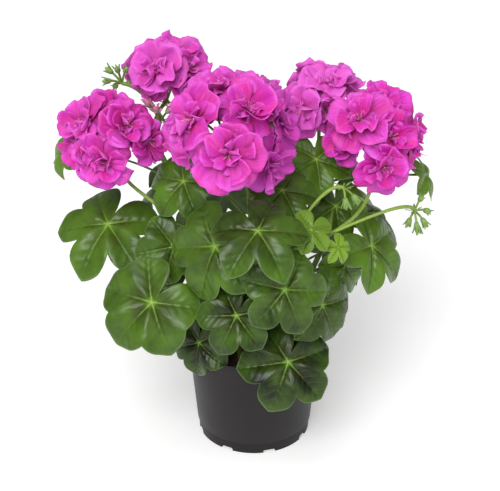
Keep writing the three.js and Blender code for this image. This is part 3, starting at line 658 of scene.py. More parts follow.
def soil_ring(radius, height, bumps=0):
    """A ring of the soil's surface, with the same lumps as its solid."""
    row = ring(radius, height, SOIL_SIDES)
    if bumps and radius:
        turn = np.arctan2(row[:, 1], row[:, 0])
        row[:, 2] += bumps * SOIL_BUMP * np.sin(0.16 * radius + 3 * turn) * np.cos(5 * turn)
    return row * MM


foot = POT_FOOT_RADIUS - SOIL_INSET
soil_top = wall_at(SOIL_HEIGHT)
top_rows = [soil_ring(soil_top * share, SOIL_HEIGHT + min(1, 4 * (1 - share)), min(1, 3 * (1 - share)))
            for share in (1, 0.97, 0.9, 0.82, 0.72, 0.62, 0.52, 0.4, 0.28, 0.15)]
top_rows.append(soil_ring(0, SOIL_HEIGHT + 1.5))
low_rows = [soil_ring(0, SOIL_INSET), soil_ring(foot, SOIL_INSET), soil_ring(foot, FOOT_STEP_HEIGHT - 1),
            soil_ring(wall_at(FOOT_STEP_HEIGHT), FOOT_STEP_HEIGHT + SEAT_GAP)]
soil = mesh_object("soil_body", [loft(low_rows + top_rows)], peat)
soil.data.set_sharp_from_angle(angle=math.radians(SOIL_CREASE))
print("soil body:", len(soil.data.polygons), "faces")


# %% Soil: crumbs scattered on its top
def hidden_collection(name, pieces):
    """A collection of pattern pieces that Geometry Nodes copy, kept out of the scene."""
    group = bpy.data.collections.new(name)
    for piece in pieces:
        bpy.context.scene.collection.objects.unlink(piece)
        group.objects.link(piece)
    return group


def crumb(seed):
    """A small uneven lump about 1 unit across."""
    dice = np.random.default_rng(seed)
    rows = []
    for step, sides in enumerate((1, 5, 5, 1)):
        polar = math.pi * step / 3
        row = ring(0.5 * math.sin(polar) if sides > 1 else 0, 0.45 * math.cos(polar), sides)
        rows.append(row * dice.uniform(0.75, 1.2, (len(row), 1)) * (1, 0.8, 0.7))
    return loft(rows)


WHOLE_TURN = 6.28
crumb_group = hidden_collection("crumbs", [mesh_object(f"crumb_{i}", [crumb(i)]) for i in range(5)])
tree, node, given = new_tree("scattered_crumbs", {
    "Ground": "Geometry", "Per square metre": 90000.0, "Smallest": 0.8 * MM, "Largest": 3 * MM, "Seed": 7})
spots = node("GeometryNodeDistributePointsOnFaces", {
    "Mesh": given["Ground"], "Density": given["Per square metre"], "Seed": given["Seed"]})
shapes = node("GeometryNodeCollectionInfo", (crumb_group, True, True))
pick = node("FunctionNodeRandomValue", {"Min": 0, "Max": 4, "Seed": given["Seed"]}, data_type="INT")
spin = node("FunctionNodeRandomValue", {"Max": (WHOLE_TURN,) * 3}, data_type="FLOAT_VECTOR")
size = node("FunctionNodeRandomValue", {"Min": given["Smallest"], "Max": given["Largest"]})
crumbs = node("GeometryNodeInstanceOnPoints", {
    "Points": spots, "Instance": shapes, "Pick Instance": True, "Instance Index": pick,
    "Rotation": node("FunctionNodeEulerToRotation", (spin,)), "Scale": size})
end_tree(node, crumbs, peat)
soil_crumbs = grown("soil_crumbs", mesh_object("soil_ground", [loft(top_rows[1:])]), tree)

# %% [markdown]
# ## Round stalks
#
# Stems, leaf stalks, flower stalks and knobs are all the same thing to a modeller: a round section that
# follows a path and swells here and there. The paths are chains of points with a width and a tone at each,
# and one Geometry Nodes tree sweeps a circle along all of them.

# %% Stalks: one tree sweeps a circle along every path
STALK_SIDES = 10


def paths_object(name, paths):
    """Bare chains of points, each path (points in mm, radii in mm, tone)."""
    edges, start = [], 0
    for points, _, _ in paths:
        edges += [(i, i + 1) for i in range(start, start + len(points) - 1)]
        start += len(points)
    radii = np.concatenate([np.broadcast_to(radius, len(points)) for points, radius, _ in paths])
    tones = np.concatenate([np.full(len(points), float(tone)) for points, _, tone in paths])
    points = np.concatenate([path[0] for path in paths]) * MM
    return bare_object(name, points, edges, (), {"thickness": radii * MM, "tone": tones})


stalk_tree, node, given = new_tree("round_stalks", {
    "Paths": "Geometry", "Sides": STALK_SIDES, "Fatness": 1.0})
circle = node("GeometryNodeCurvePrimitiveCircle", {"Resolution": given["Sides"], "Radius": 1})
thickness = node("GeometryNodeInputNamedAttribute", ("thickness",), data_type="FLOAT")
tube = node("GeometryNodeCurveToMesh", {
    "Curve": node("GeometryNodeMeshToCurve", (given["Paths"],)), "Profile Curve": circle,
    "Scale": node("Math", (thickness, given["Fatness"]), "MULTIPLY"), "Fill Caps": True})
end_tree(node, tube, stalk_skin)
print("round_stalks tree:", len(stalk_tree.nodes), "nodes")

# %% [markdown]
# ## Where each stalk goes
#
# A leaf stalk leaves its stem slanting up, then bends so that it meets the blade from behind. A head's stalk
# rises to a knob, and from the knob a thin stalk goes to the cup under each flower. These are the curves of
# the solids, with more points, a small swelling at each node of the stem and a slight taper.

# %% Paths of stems and leaf stalks
# Tones go from old, 0, to fresh, 1. A stem swells by 0.5 mm over 2.5% of its length on either side of a node.
STEM_POINTS, LEAF_STALK_POINTS = 44, 18
STEM_TONE, LEAF_STALK_TONE = 0.3, 0.55
NODE_SWELLING, NODE_LENGTH = 0.5, 0.025
YOUNG_WIDTH, YOUNG_THINNING = 40, 0.8


def stem_path(name):
    """A stem, thickest in the soil, with a swelling where each leaf leaves it."""
    t = np.linspace(0, 1, STEM_POINTS)
    radius = STEM_BASE_RADIUS + (STEM_TIP_RADIUS - STEM_BASE_RADIUS) * t
    for share, *_ in LEAVES[name]:
        radius = radius + NODE_SWELLING * np.exp(-(((t - share) / NODE_LENGTH) ** 2))
    return bezier(STEMS[name], t), radius * np.where(t > 0.985, 0.75, 1), STEM_TONE


def leaf_stalk_path(name, share, joint, angles, width, _):
    """The stalk of one leaf, from the stem to the underside of the blade's joint."""
    joint = np.array(joint, float)
    _, tip, normal = facing(*angles)
    start = stem_point(name, share)
    end = joint - normal * BLADE_THICKNESS
    length = np.linalg.norm(end - start)
    leave = start + (joint - start) * 0.3 + UP * 0.12 * length
    arrive = end - normal * 0.28 * length - tip * 0.1 * length
    t = np.linspace(0, 1, LEAF_STALK_POINTS)
    radius = LEAF_STALK_RADIUS * (1.15 - 0.35 * np.sin(math.pi * t * 0.9))
    radius = radius * (YOUNG_THINNING if width < YOUNG_WIDTH else 1)
    return bezier((start, leave, arrive, end + normal * 0.8), t), radius, LEAF_STALK_TONE


print("the middle stem ends at", stem_path("middle")[0][-1].round(1))

# %% Paths of flower heads and sprays of buds
# A flower stalk widens over its last 28%, and a bud starts half way along its stalk's 24 points.
HEAD_STALK_TONE, KNOB_TONE, FLOWER_STALK_TONE, BUD_STALK_TONE, SPRAY_TONE = 0.9, 0.7, 0.8, 0.85, 0.95
HEAD_STALK_POINTS, KNOB_POINTS, FLOWER_STALK_POINTS, SPRAY_POINTS = 36, 7, 16, 30
CUP_START, BUD_STALK_POINTS, BUD_START = 0.72, 24, 12


def flower_seats(name):
    """The facing, hub and radius of each flower in a head."""
    *_, flowers = HEADS[name]
    seats = []
    for i, (centre, angles, width) in enumerate(flowers):
        axes = facing(*angles, 360 * chance(10 * HEAD_ORDER.index(name) + i, 4))
        seats.append((axes, np.array(centre, float) - axes[2] * CUP_TO_CENTRE, width / 2))
    return seats


def flower_stalk_path(knob, axes, hub):
    """The thin stalk from the knob, which widens into the cup under a flower."""
    top = hub - axes[2] * SEAT_GAP
    length = np.linalg.norm(top - knob)
    t = np.linspace(0, 1, FLOWER_STALK_POINTS)
    flare = np.clip((t - CUP_START) / (1 - CUP_START), 0, 1) ** 1.3
    radius = FLOWER_STALK_RADIUS + (CUP_RADIUS - FLOWER_STALK_RADIUS) * flare
    controls = (knob, knob + (top - knob) * 0.35, top - axes[2] * 0.4 * length, top)
    return bezier(controls, t), radius, FLOWER_STALK_TONE


def head_paths(head):
    """The stalk of a flower head, its knob, and the stalk of each flower."""
    stem, share, knob, bends, _ = HEADS[head]
    knob, start = np.array(knob, float), stem_point(stem, share)
    rise = UP * 0.4 * np.linalg.norm(knob - start)
    t, level = np.linspace(0, 1, HEAD_STALK_POINTS), np.linspace(-1, 1, KNOB_POINTS)[:, None]
    radius = HEAD_STALK_RADIUS * np.interp(t, (0, 0.06, 0.3, 0.65, 1), (1.25, 1, 1, 0.85, 0.95))
    ball = KNOB_RADIUS * np.sin(np.linspace(0.05, 0.95, KNOB_POINTS) * math.pi)
    return [(bezier((start, *(bends or (start + rise, knob - rise)), knob), t), radius, HEAD_STALK_TONE),
            (knob + UP * KNOB_RADIUS * level, ball, KNOB_TONE),
            *(flower_stalk_path(knob, axes, hub) for axes, hub, _ in flower_seats(head))]


def bud_stalk(knob, tip):
    """Points from a spray's knob to the tip of a bud."""
    knob, tip = np.array(knob, float), np.array(tip, float)
    return bezier((knob, (knob + tip) / 2 + UP * 3, tip), np.linspace(0, 1, BUD_STALK_POINTS))


def spray_paths(stem, share, knob, bends, tips):
    """The stalks of a spray of buds: its own, and one that ends inside each bud."""
    t = np.linspace(0, 1, SPRAY_POINTS)
    controls, radius = (stem_point(stem, share), *bends, knob), np.interp(t, (0, 0.5, 1), (1.3, 1.1, 1.5))
    bud_stalks = [bud_stalk(knob, tip)[:BUD_START + 2] for tip in tips]
    return [(bezier(controls, t), radius, SPRAY_TONE),
            *((points, FLOWER_STALK_RADIUS, BUD_STALK_TONE) for points in bud_stalks)]


print("paths of the front head:", len(head_paths("front")))

# %% The stalks of each stem
heads_on = {name: [head for head, (stem, *_) in HEADS.items() if stem == name] for name in STEMS}
sprays_on = {name: [row for row in BUD_SPRAYS if row[0] == name] for name in STEMS}
stalks = {}
for name in STEMS:
    paths = [stem_path(name)] + [leaf_stalk_path(name, *row) for row in LEAVES[name]]
    paths += [path for head in heads_on[name] for path in head_paths(head)]
    paths += [path for row in sprays_on[name] for path in spray_paths(*row)]
    piece = f"leafy_stem_{name}_stalks"
    stalks[name] = grown(piece, paths_object(name, paths), stalk_tree, Sides=STALK_SIDES)

# %% [markdown]
# ## Leaf blades
#
# The blade is round with five shallow lobes, pleated along its main veins, sunk at the joint and turned down
# at the edge. A flat cut-out bent afterwards never looks like this, so it is worked out in polar form: a
# reach for each angle, and a height for each angle and radius, both the formulas of the solid. Rings from the
# joint to the rim and back underneath close it, 0.9 mm thick at the joint and 0.35 mm at the rim.

# %% Blades: lobes, sinuses and the outline
# Degrees from the tip, with the reach of each lobe and the share of the depth that each sinus has.
LOBES = np.array(((0, 1), (63, 0.97), (128, 0.86)))
SINUSES = np.array(((33, 1), (96, 0.9), (180, 0)))
SINUS_REACH, STALK_SINUS_REACH = 0.94, 0.2
SPANS = ((0, 33, 9), (33, 63, 8), (63, 96, 9), (96, 128, 9), (128, 180, 16))
half_turn = np.concatenate([np.linspace(a, b, n, endpoint=False) for a, b, n in SPANS])
BLADE_ANGLES = np.concatenate([half_turn, [180], 360 - half_turn[:0:-1]])
BLADE_RINGS = (0.05, 0.12, 0.22, 0.34, 0.46, 0.58, 0.7, 0.8, 0.88, 0.94, 0.98, 1)
# At each angle: the lobe and sinus on either side, the turn from the lobe's axis and the share between them.
turn = np.abs((BLADE_ANGLES + 180) % 360 - 180)
at, lobe_reach = LOBES[np.searchsorted(SINUSES[:2, 0], turn)].T
edge, depth = SINUSES[np.searchsorted(LOBES[1:, 0], turn)].T
off_axis, between = np.radians(turn - at), np.abs(turn - at) / np.abs(edge - at)


def blade_outline(turn, lobing, seed):
    """The reach of the rim at each angle, in shares of the blade's reach."""
    bottom = SINUS_REACH * (1 - lobing * depth)
    outline = np.where(depth > 0, lobe_reach + (bottom - lobe_reach) * between ** 3,
                       lobe_reach + (STALK_SINUS_REACH - lobe_reach) * between ** 4)
    outline = outline * (1 + 0.012 * np.cos(3 * math.pi * between) * (1 - between))
    # Deeper cut leaves also have more pointed lobes.
    outline = outline * (0.988 + 0.17 * lobing * np.clip(1 - between / 0.45, 0, 1) ** 1.2)
    return outline * (1 + 0.025 * np.sin(2 * turn + 6 * chance(seed, 7)) * np.sin(turn / 2) ** 2)


print("points round a blade:", len(BLADE_ANGLES), "on", len(BLADE_RINGS), "rings")

# %% Blades: relief and the values that the material reads
# Heights in shares of the blade's reach: it sinks at the joint, stands up between its pleats, waves three
# times round, is creased along each main vein, and ripples and drops at its edge.
PLEAT, WAVE, CREASE, CREASE_WIDTH = 0.085, 0.05, 0.022, 0.055
RIPPLE, EDGE_RIPPLE, EDGE_DROP = 0.02, 0.04, 0.02


def blade(joint, angles, width, lobing, seed, tone, young):
    """A closed leaf blade in metres, with the values that its material reads."""
    side, tip, normal = facing(*angles)
    reach, turn = width * WIDTH_TO_REACH, np.radians(BLADE_ANGLES)
    outline = blade_outline(turn, lobing, seed)
    sink, turn_down = 0.16 + 0.12 * chance(seed, 2), 0.28 + 0.16 * chance(seed, 3)
    wave_start, ripple_start, edge_start = (2 * math.pi * chance(seed, i) for i in (1, 6, 8))
    rows, veins, leaf = [], [], []
    up_side = [(ring_share, 1) for ring_share in (0, *BLADE_RINGS)]
    for ring_share, face in up_side + [(ring_share, -1) for ring_share, _ in up_side[::-1]]:
        some = slice(None) if ring_share else slice(0, 1)
        q, angle, axis = ring_share * outline[some], turn[some], off_axis[some]
        across, along = q * np.abs(np.sin(axis)), q * np.cos(axis)
        funnel = sink * q - turn_down * q ** 2
        pleat = PLEAT * q * np.cos(math.pi * between[some])
        wave = WAVE * q ** 3 * np.sin(3 * angle + wave_start)
        crease = CREASE * np.exp(-((across / CREASE_WIDTH) ** 2)) * np.minimum(1, 8 * q) * (1 - 0.6 * q)
        ripple = RIPPLE * q ** 2 * np.sin(7 * angle + ripple_start) - EDGE_DROP * ring_share ** 10
        ripple = ripple + EDGE_RIPPLE * q ** 4 * np.sin(5 * angle + edge_start)
        half = BLADE_THICKNESS / 2 * (0.9 - 0.55 * ring_share ** 2)
        height = reach * (funnel - pleat + wave - crease + ripple) + face * half
        flat = np.outer(np.cos(angle) * q * reach, tip) + np.outer(np.sin(angle) * q * reach, side)
        rows.append((np.array(joint, float) + flat + np.outer(height, normal)) * MM)
        veins.append(np.stack([along, across, np.full(len(q), ring_share)], axis=1))
        leaf.append(np.tile((tone, 0.0 if face > 0 else 1.0, young), (len(q), 1)))
    return *loft(rows), {"veins": np.concatenate(veins), "leaf": np.concatenate(leaf)}


# %% Blades of each stem
# Low leaves and those near the middle are darker, partly as they are old and partly as painted shade where
# the leaves around them shade them. High and outer ones are lighter.
LOW_LEAF, HIGH_LEAF, OUTER_LEAF, YOUNG_SPAN = 95, 200, 75, 14
blades = {}
for order, name in enumerate(STEMS):
    shapes = []
    for i, (_, joint, angles, width, lobing) in enumerate(LEAVES[name]):
        young = max(0, min(1, (YOUNG_WIDTH - width) / YOUNG_SPAN))
        rise = max(0, min(1, (joint[2] - LOW_LEAF) / (HIGH_LEAF - LOW_LEAF)))
        tone = 0.45 * rise + 0.4 * min(1, abs(joint[0]) / OUTER_LEAF) + 0.2 * chance(order, i + 9)
        shapes.append(blade(joint, angles, width, lobing, 10 * order + i, tone, young))
    blades[name] = mesh_object(f"leafy_stem_{name}_blades", shapes, leaf_blade)
    print(name, len(shapes), "blades,", len(blades[name].data.polygons), "faces")

# %% [markdown]
# ## Petals
#
# A petal is a claw that widens into a broad, thin fan with a waved rim. One function sets the outline, the
# cupping, the creases and the ruffles from u across and v along, and a seed varies them. Each ring of a
# double flower has its own few shapes, wide and flat outside, small and crumpled inside. They are 1 unit long
# here, and the tree scales them to each flower.

# %% The form of a petal
CLAW, FULL_AT, END_ROUNDING, NOTCH_WIDTH, FOLD_WIDTH = 0.14, 0.78, 0.24, 0.22, 0.2


def petal(seed, width, cup, ruffle, rows=8, columns=9, thickness=0.014, notch=0.05, droop=0.12, point=0):
    """A petal of unit length along Y, facing Z. A sepal is the same with a point at its end."""
    dice = np.random.default_rng(seed)
    v, u = np.meshgrid(np.linspace(0, 1, rows) ** 0.9, np.linspace(-1, 1, columns), indexing="ij")
    # The outline is a narrow claw that is full at 78% of the length, with a rounded, notched end.
    swell = np.sin(math.pi / 2 * np.clip(v / FULL_AT, 0, 1)) ** 1.3
    half = width * dice.uniform(0.9, 1.06) / 2 * (CLAW + (1 - CLAW) * swell)
    half = half * (1 - point * np.clip((v - 0.35) / 0.65, 0, 1) ** 1.4)
    dent = np.exp(-(((u - dice.uniform(-0.15, 0.15)) / NOTCH_WIDTH) ** 2))
    end = 1 - END_ROUNDING * np.abs(u) ** 2.6 * (1 - point) - notch * dent
    phase = dice.uniform(0, 2 * math.pi, 4)
    along = v * end + dice.uniform(-0.02, 0.02, columns)[None] * v ** 4
    # It rises from the claw, droops and cups, is ruffled across and along, and has two creases along it.
    lift = 0.1 * v ** 0.7 - droop * dice.uniform(0.2, 1.6) * v ** 2
    lift = lift + cup * dice.uniform(-0.7, 1.3) * u ** 2 * v ** 1.2
    lift = lift + ruffle * v ** 2 * (0.7 * np.sin(2.6 * u + phase[0]) + 0.45 * np.sin(5.2 * u + phase[1]))
    lift = lift + ruffle * 0.7 * v * np.sin(4.5 * v + phase[2]) * np.cos(2 * u + phase[3])
    for fold in dice.uniform(-0.65, 0.65, 2):
        lift = lift - dice.uniform(0.3, 1) * ruffle * np.exp(-(((u - fold) / FOLD_WIDTH) ** 2)) * v ** 0.8
    twist = dice.uniform(-0.3, 0.3) * v
    shape = sheet(np.stack([u * half, along, lift + twist * u * half], axis=2), thickness)
    values = np.stack([u, v, np.full_like(u, dice.uniform(0, 20))], axis=2).reshape(-1, 3)
    return *shape, {"petal": np.concatenate([values, values + (0, 0, BACK_DRAW)])}


print("a petal has", len(petal(0, 1, 0.2, 0.2)[1]), "faces")

# %% Petal shapes for each ring, and a stamen
def petal_group(name, count, *sizes, **form):
    """A hidden collection of petal shapes, whose seeds come from its name."""
    seed = sum(map(ord, name))
    shapes = [petal(seed + i, *sizes, **form) for i in range(count)]
    return hidden_collection(name, [mesh_object(f"{name}_{i}", [shape]) for i, shape in enumerate(shapes)])


outer_petals = petal_group("outer_petals", 6, 1.04, 0.16, 0.15)
middle_petals = petal_group("middle_petals", 6, 0.98, 0.24, 0.16)
inner_petals = petal_group("inner_petals", 6, 0.8, 0.4, 0.24, rows=7, columns=7, droop=0.1)
sepals = petal_group("sepals", 3, 0.36, 0.1, 0.02, rows=6, columns=5, thickness=0.05, notch=0, point=0.9)


def stamen():
    """A thread of unit length along Y with a long anther across its end."""
    rows = [ring(0, 0, 1)] + [ring(0.02, z, 5) for z in (0, 0.25, 0.5, 0.75)]
    rows += [ring(0.035, 0.88, 5) * (1.8, 1, 1), ring(0.03, 0.98, 5) * (1.8, 1, 1), ring(0, 1, 1)]
    points, faces = loft([row[:, (0, 2, 1)] for row in rows])
    return points, faces, {"petal": points * (10, 1, 1)}


stamens = hidden_collection("stamens", [mesh_object("stamen_0", [stamen()])])

# %% [markdown]
# ## Whorls
#
# Petals, sepals, bracts and stamens all stand in rings round an axis, so one tree makes any ring: it copies
# each seat as often as there are petals, turns each copy round the axis, tilts it up with a little play, and
# sets one of the group's shapes there. The seats carry the direction of the axis, the length of a petal and
# the tone of the flower. The double bloom nests that tree four times, each ring shorter and steeper than the
# one outside it.

# %% A tree for one ring of petals: the seats, and each copy's turn
def seats_object(name, seats):
    """Points with an axis, a size and a tone, each (frame, place in mm, size in mm, tone)."""
    frames, places, sizes, tones = zip(*seats)
    turns = [tuple(Matrix(axes).transposed().to_euler()) for axes in frames]
    values = {"facing": turns, "size": np.array(sizes) * MM, "tone": tones}
    return bare_object(name, np.array(places) * MM, values=values)


ring_tree, node, given = new_tree("ring_of_petals", {
    "Seats": "Geometry", "Shapes": "Collection", "Number": 5, "Length": 1.0, "Tilt": 0.1, "First turn": 0.0,
    "Play": 0.12, "Stand off": 0.003, "Start radius": 0.001, "Seed": 3})
copies = node("GeometryNodeDuplicateElements", {
    "Geometry": given["Seats"], "Amount": given["Number"]}, domain="POINT")
turn_each = node("Math", (2 * math.pi, given["Number"]), "DIVIDE")
turn = node("Math", (copies.outputs["Duplicate Index"], turn_each, given["First turn"]), "MULTIPLY_ADD")
less = node("Math", (given["Play"], -1), "MULTIPLY")
turn_play, tilt_play, roll_play = (node("FunctionNodeRandomValue", {
    "Min": less, "Max": given["Play"], "Seed": node("Math", (given["Seed"], i))}) for i in range(3))
turn = node("Math", (turn, turn_play))
tilt = node("Math", (given["Tilt"], tilt_play))
roll = node("Math", (roll_play, 1.2), "MULTIPLY")

# The seat's own turn comes first, then the turn round the axis, then the tilt and roll of the petal.
axis = node("GeometryNodeInputNamedAttribute", ("facing",), data_type="FLOAT_VECTOR")
base = node("FunctionNodeEulerToRotation", (axis,))
round_axis = node("FunctionNodeAxisAngleToRotation", ((0, 0, 1), turn))
round_axis = node("FunctionNodeRotateRotation", (base, round_axis), rotation_space="LOCAL")
up = node("FunctionNodeEulerToRotation", (node("CombineXYZ", (tilt, roll)),))
pose = node("FunctionNodeRotateRotation", (round_axis, up), rotation_space="LOCAL")
out = node("CombineXYZ", (0, given["Start radius"], given["Stand off"]))
shift = node("FunctionNodeRotateVector", (out, round_axis))
placed = node("GeometryNodeSetPosition", {"Geometry": copies, "Offset": shift})
print("seats are turned and set off by", len(ring_tree.nodes), "nodes")

# %% A tree for one ring of petals: a shape of the right length on each copy
shapes = node("GeometryNodeCollectionInfo", (given["Shapes"], True, True))
pick = node("FunctionNodeRandomValue", {"Min": 0, "Max": 5, "Seed": given["Seed"]}, data_type="INT")
size = node("GeometryNodeInputNamedAttribute", ("size",), data_type="FLOAT")
spread = node("FunctionNodeRandomValue", {"Min": 0.78, "Max": 1.07, "Seed": given["Seed"]})
length = node("Math", (node("Math", (size, given["Length"]), "MULTIPLY"), spread), "MULTIPLY")
petals = node("GeometryNodeInstanceOnPoints", {
    "Points": placed, "Instance": shapes, "Pick Instance": True, "Instance Index": pick, "Rotation": pose,
    "Scale": length})
node("NodeGroupOutput", (petals,))
print("ring tree:", len(ring_tree.nodes), "nodes")


# %% Trees for the double bloom and its eye
def bloom_tree(name, material, *rings):
    """A tree of rings of petals on the same seats, each ring (shapes, number, share of the size, (tilt, first
    turn and play in degrees), stand off and start radius in mm)."""
    tree, node, given = new_tree(name, {"Seats": "Geometry", "Seed": 3})
    join = node("GeometryNodeJoinGeometry")
    for i, (shapes, number, length, angles, stand_off, start) in enumerate(rings):
        tilt, turn, play = map(math.radians, angles)
        fill(join, (node("GeometryNodeGroup", {
            "Seats": given["Seats"], "Seed": node("Math", (given["Seed"], 10 * i)), "Shapes": shapes,
            "Number": number, "Length": length, "Tilt": tilt, "First turn": turn, "Play": play,
            "Stand off": stand_off * MM, "Start radius": start * MM}, node_tree=ring_tree),))
    end_tree(node, join, material)
    return tree


double_bloom = bloom_tree(
    "double_bloom", petal_skin,
    (outer_petals, 5, 1, (3, 0, 15), 2.4, 1), (middle_petals, 5, 0.86, (26, 36, 22), 2.8, 1),
    (inner_petals, 4, 0.55, (46, 8, 26), 3.4, 1), (inner_petals, 3, 0.38, (64, 40, 26), 3.8, 1))
flower_eye = bloom_tree("flower_eye", stamen_skin, (stamens, 6, 0.27, (68, 12, 16), 4.5, 0.6))
print("double bloom:", len(double_bloom.nodes), "nodes; flower eye:", len(flower_eye.nodes), "nodes")

# %% [markdown]
# ## Flower heads
#
# A head is a ball of double flowers that face outwards from the knob, so their petals press into each other
# and only their faces show. Each flower's tone is a steady draw, but two at the right of the front head face
# into the shade, and a plum tint is painted on them as painted shade.

# %% Six heads
# Painted shade: a plum tint on the two flowers at the right of the front head, which face into the shade.
SHADED_PLUM_FLOWERS, SHADED_PLUM_TONE = {("front", 4), ("front", 5)}, 0.9
# Lower tones are paler. The middle head is pale partly in its own colour, partly as painted light that lifts
# the shade which the front head casts on it.
HEAD_TONES = {"left": 0.3, "top": 0.14, "front": 0.3, "right": 0.36, "middle": 0.08, "back": 0.3}


def flower_tone(head, i):
    """A flower's tone, from pale at 0 to plum at 1. Plum is painted shade, and the middle head's paleness is
    partly painted light.
    """
    steady = HEAD_TONES[head] + 0.2 * (chance(i, 7 + HEAD_ORDER.index(head)) - 0.5)
    return SHADED_PLUM_TONE if (head, i) in SHADED_PLUM_FLOWERS else steady


bloom_petals, bloom_eyes = {}, {}
for order, name in enumerate(HEADS):
    seats = [(*seat, flower_tone(name, i)) for i, seat in enumerate(flower_seats(name))]
    for label, kept, tree in (("petals", bloom_petals, double_bloom), ("stamens", bloom_eyes, flower_eye)):
        kept[name] = grown(f"flower_head_{name}_{label}", seats_object(name, seats), tree, Seed=order)

# %% [markdown]
# ## Green trim
#
# Close up, a geranium is full of small green parts: five sepals under each flower, a collar of bracts on each
# knob, a pair of stipules at each leaf, and buds held in their own sepals. They are all rings of the same
# pointed shape, so the tree for petals makes them too.

# %% Rings of sepals, bracts and stipules, and the body of a bud
BUD_SIDES = 10
BUD_PROFILE = ((0, 0), (0.12, 0.75), (0.3, 1), (0.5, 0.96), (0.7, 0.78), (0.86, 0.5), (0.96, 0.22), (1, 0))


def bud_body(start, tip, blush):
    """A pointed bud between two places, with a pink tip where blush is 1."""
    side, up, _ = facing_along(tip - start)
    rows, v = [], []
    for share, fatness in BUD_PROFILE:
        turn = ring(fatness * BUD_RADIUS, 0, BUD_SIDES)
        rows.append((start + (tip - start) * share + turn[:, :1] * side + turn[:, 1:2] * up) * MM)
        v += [float(share)] * len(turn)
    return *loft(rows), {"petal": np.stack([np.zeros(len(v)), v, v], axis=1), "tone": np.full(len(v), blush)}


calyx = bloom_tree("calyx", hairy_sepal, (sepals, 5, 1, (22, 18, 5), 0, 1.6))
collar = bloom_tree("collar_of_bracts", hairy_sepal, (sepals, 7, 1, (12, 0, 12), 0, 2))
stipule_pair = bloom_tree("stipules", hairy_sepal, (sepals, 2, 1, (40, 90, 8), 0, 1.5))
bud_cup = bloom_tree("bud_sepals", hairy_sepal, (sepals, 5, 1, (74, 0, 4), 0, 1.3))
print("rings of sepals:", ", ".join(tree.name for tree in (calyx, collar, stipule_pair, bud_cup)))

# %% Green trim of each stem
SEPAL_LENGTH, BRACT_LENGTH, STIPULE_LENGTH = 8, 6.5, 5
CALYX_DROP, COLLAR_DROP = 0.6, 1.5
OPENING_SPRAY, CALYX_TONE, COLLAR_TONE, BUD_COVER = BUD_SPRAYS[1], 0.15, 0.1, 1.04


def leaf_node(name, share):
    """The seat of the stipules where a leaf leaves its stem."""
    ahead = stem_point(name, min(1, share + 0.01)) - stem_point(name, share - 0.01)
    return facing_along(ahead), stem_point(name, share), STIPULE_LENGTH, 0


green_trim = {}
for order, name in enumerate(STEMS):
    calyces, collars, buds, bodies = [], [], [], []
    for head in heads_on[name]:
        _, _, knob, _, _ = HEADS[head]
        collars.append((facing_along(UP), knob - UP * COLLAR_DROP, BRACT_LENGTH, COLLAR_TONE))
        for axes, hub, _ in flower_seats(head):
            calyces.append((axes, hub - axes[2] * CALYX_DROP, SEPAL_LENGTH, CALYX_TONE))
    for row in sprays_on[name]:
        _, _, knob, _, tips = row
        blush = 1 if row is OPENING_SPRAY else 0
        collars.append((facing_along(UP), np.array(knob), BRACT_LENGTH, 0))
        for tip in tips:
            start = bud_stalk(knob, tip)[BUD_START]
            axis = np.array(tip) - start
            buds.append((facing_along(axis), start, np.linalg.norm(axis) * BUD_COVER, blush))
            bodies.append(bud_body(start, np.array(tip), blush))
    nodes = [leaf_node(name, share) for share, *_ in LEAVES[name]]
    rings = ((calyces, "calyces", calyx), (collars, "bracts", collar), (nodes, "stipules", stipule_pair),
             (buds, "bud_sepals", bud_cup))
    stem = f"leafy_stem_{name}"
    green_trim[name] = [grown(f"{stem}_{label}", seats_object(label, seats), tree, Seed=order)
                        for seats, label, tree in rings if seats]
    if bodies:
        green_trim[name].append(mesh_object(f"{stem}_buds", bodies, hairy_sepal))

# %% [markdown]
# ## Each piece takes its solid's place
#
# Every finished piece hides the solid that it stands for. Nothing moves, so all of them ride on the one body.

# %% Pieces, nodes and finishes
def finish(piece, node):
    """Hangs a finished piece on the one body and hides the solid that it stands for."""
    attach(piece, "root")
    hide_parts(node)


finish(pot, "pot")
finish(soil, "soil")
finish(soil_crumbs, "soil")
for name in STEMS:
    for piece in (blades[name], stalks[name], *green_trim[name]):
        finish(piece, f"leafy_stem_{name}")
for name in HEADS:
    for piece in (bloom_petals[name], bloom_eyes[name]):
        finish(piece, f"flower_head_{name}")
print(3 + 2 * len(STEMS) + sum(map(len, green_trim.values())) + 2 * len(HEADS), "finished pieces")

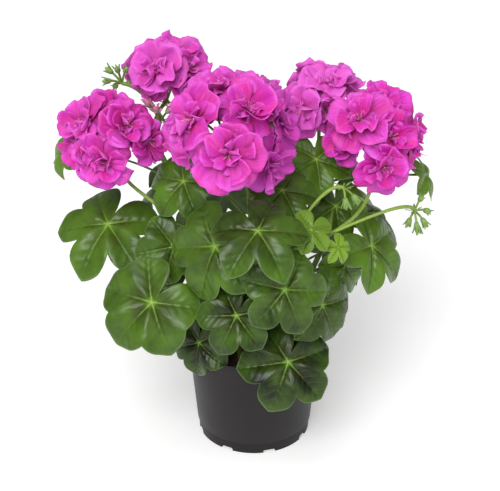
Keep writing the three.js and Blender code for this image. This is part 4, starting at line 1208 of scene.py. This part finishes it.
# %% [markdown]
# ## Floor, light and camera
#
# The plant stands on a white sweep under soft studio light: a broad sun from the front left gives the leaves
# their shape, two lamps and the pale surround keep the shadows open. The camera looks down on the plant
# through a long lens.

# %% Floor and surround
WHITE = (1, 1, 1, 1)
FLOOR_REACH, FLOOR_DROP = 30, 0.0002
floor_finish, _, surface = new_material("white_paper_sweep")
fill(surface, {"Base Color": (0.85, 0.85, 0.85, 1), "Roughness": 0.9, "Emission Color": WHITE,
               "Emission Strength": 0.27})
corners = np.array(((-1, -1, 0), (1, -1, 0), (1, 1, 0), (-1, 1, 0)), float) * FLOOR_REACH
floor = mesh_object("floor", [(corners, [(0, 1, 2, 3)])], floor_finish)
floor.location.z = -FLOOR_DROP

world = bpy.data.worlds.new("pale_surround")
world.use_nodes = True
node = partial(add, world.node_tree)
height = node("SeparateXYZ", (node("TexCoord").outputs["Generated"],)).outputs["Z"]
dome = node("MapRange", (height, 0, 1, 0.25, 0.4))
fill(world.node_tree.nodes["Background"], {"Color": WHITE, "Strength": dome})
bpy.context.scene.world = world
print("floor", 2 * FLOOR_REACH, "m wide under a", world.name)

# %% Lamps and camera
LAMP_SIZE = 0.7
for name, place, aim, watts in (("top", (-0.25, -0.3, 1.2), (0, 0, 0.15), 4),
                                ("fill", (0.8, -0.8, 0.5), (0, 0, 0.22), 1.5)):
    lamp = new_object(name, bpy.data.lights.new(name, "AREA"))
    lamp.data.shape, lamp.data.size, lamp.data.energy = "SQUARE", LAMP_SIZE, watts
    lamp.location = place
    lamp.rotation_euler = (Vector(aim) - Vector(place)).to_track_quat("-Z", "Y").to_euler()
key = new_object("key", bpy.data.lights.new("key", "SUN"))
key.data.energy, key.data.angle = 2.4, math.radians(32)
key.rotation_euler = (math.radians(47), math.radians(-15), 0)

camera = new_object("camera", bpy.data.cameras.new("camera"))
camera.data.lens, camera.data.sensor_width = 94.1, 36
camera.location = (-0.0033, -0.891, 0.616)
camera.rotation_euler = (math.radians(63), 0, 0)
bpy.context.scene.camera = camera
bpy.context.scene.view_settings.view_transform = "Standard"
print("camera", round(camera.location.length, 3), "m away, lens", camera.data.lens, "mm")
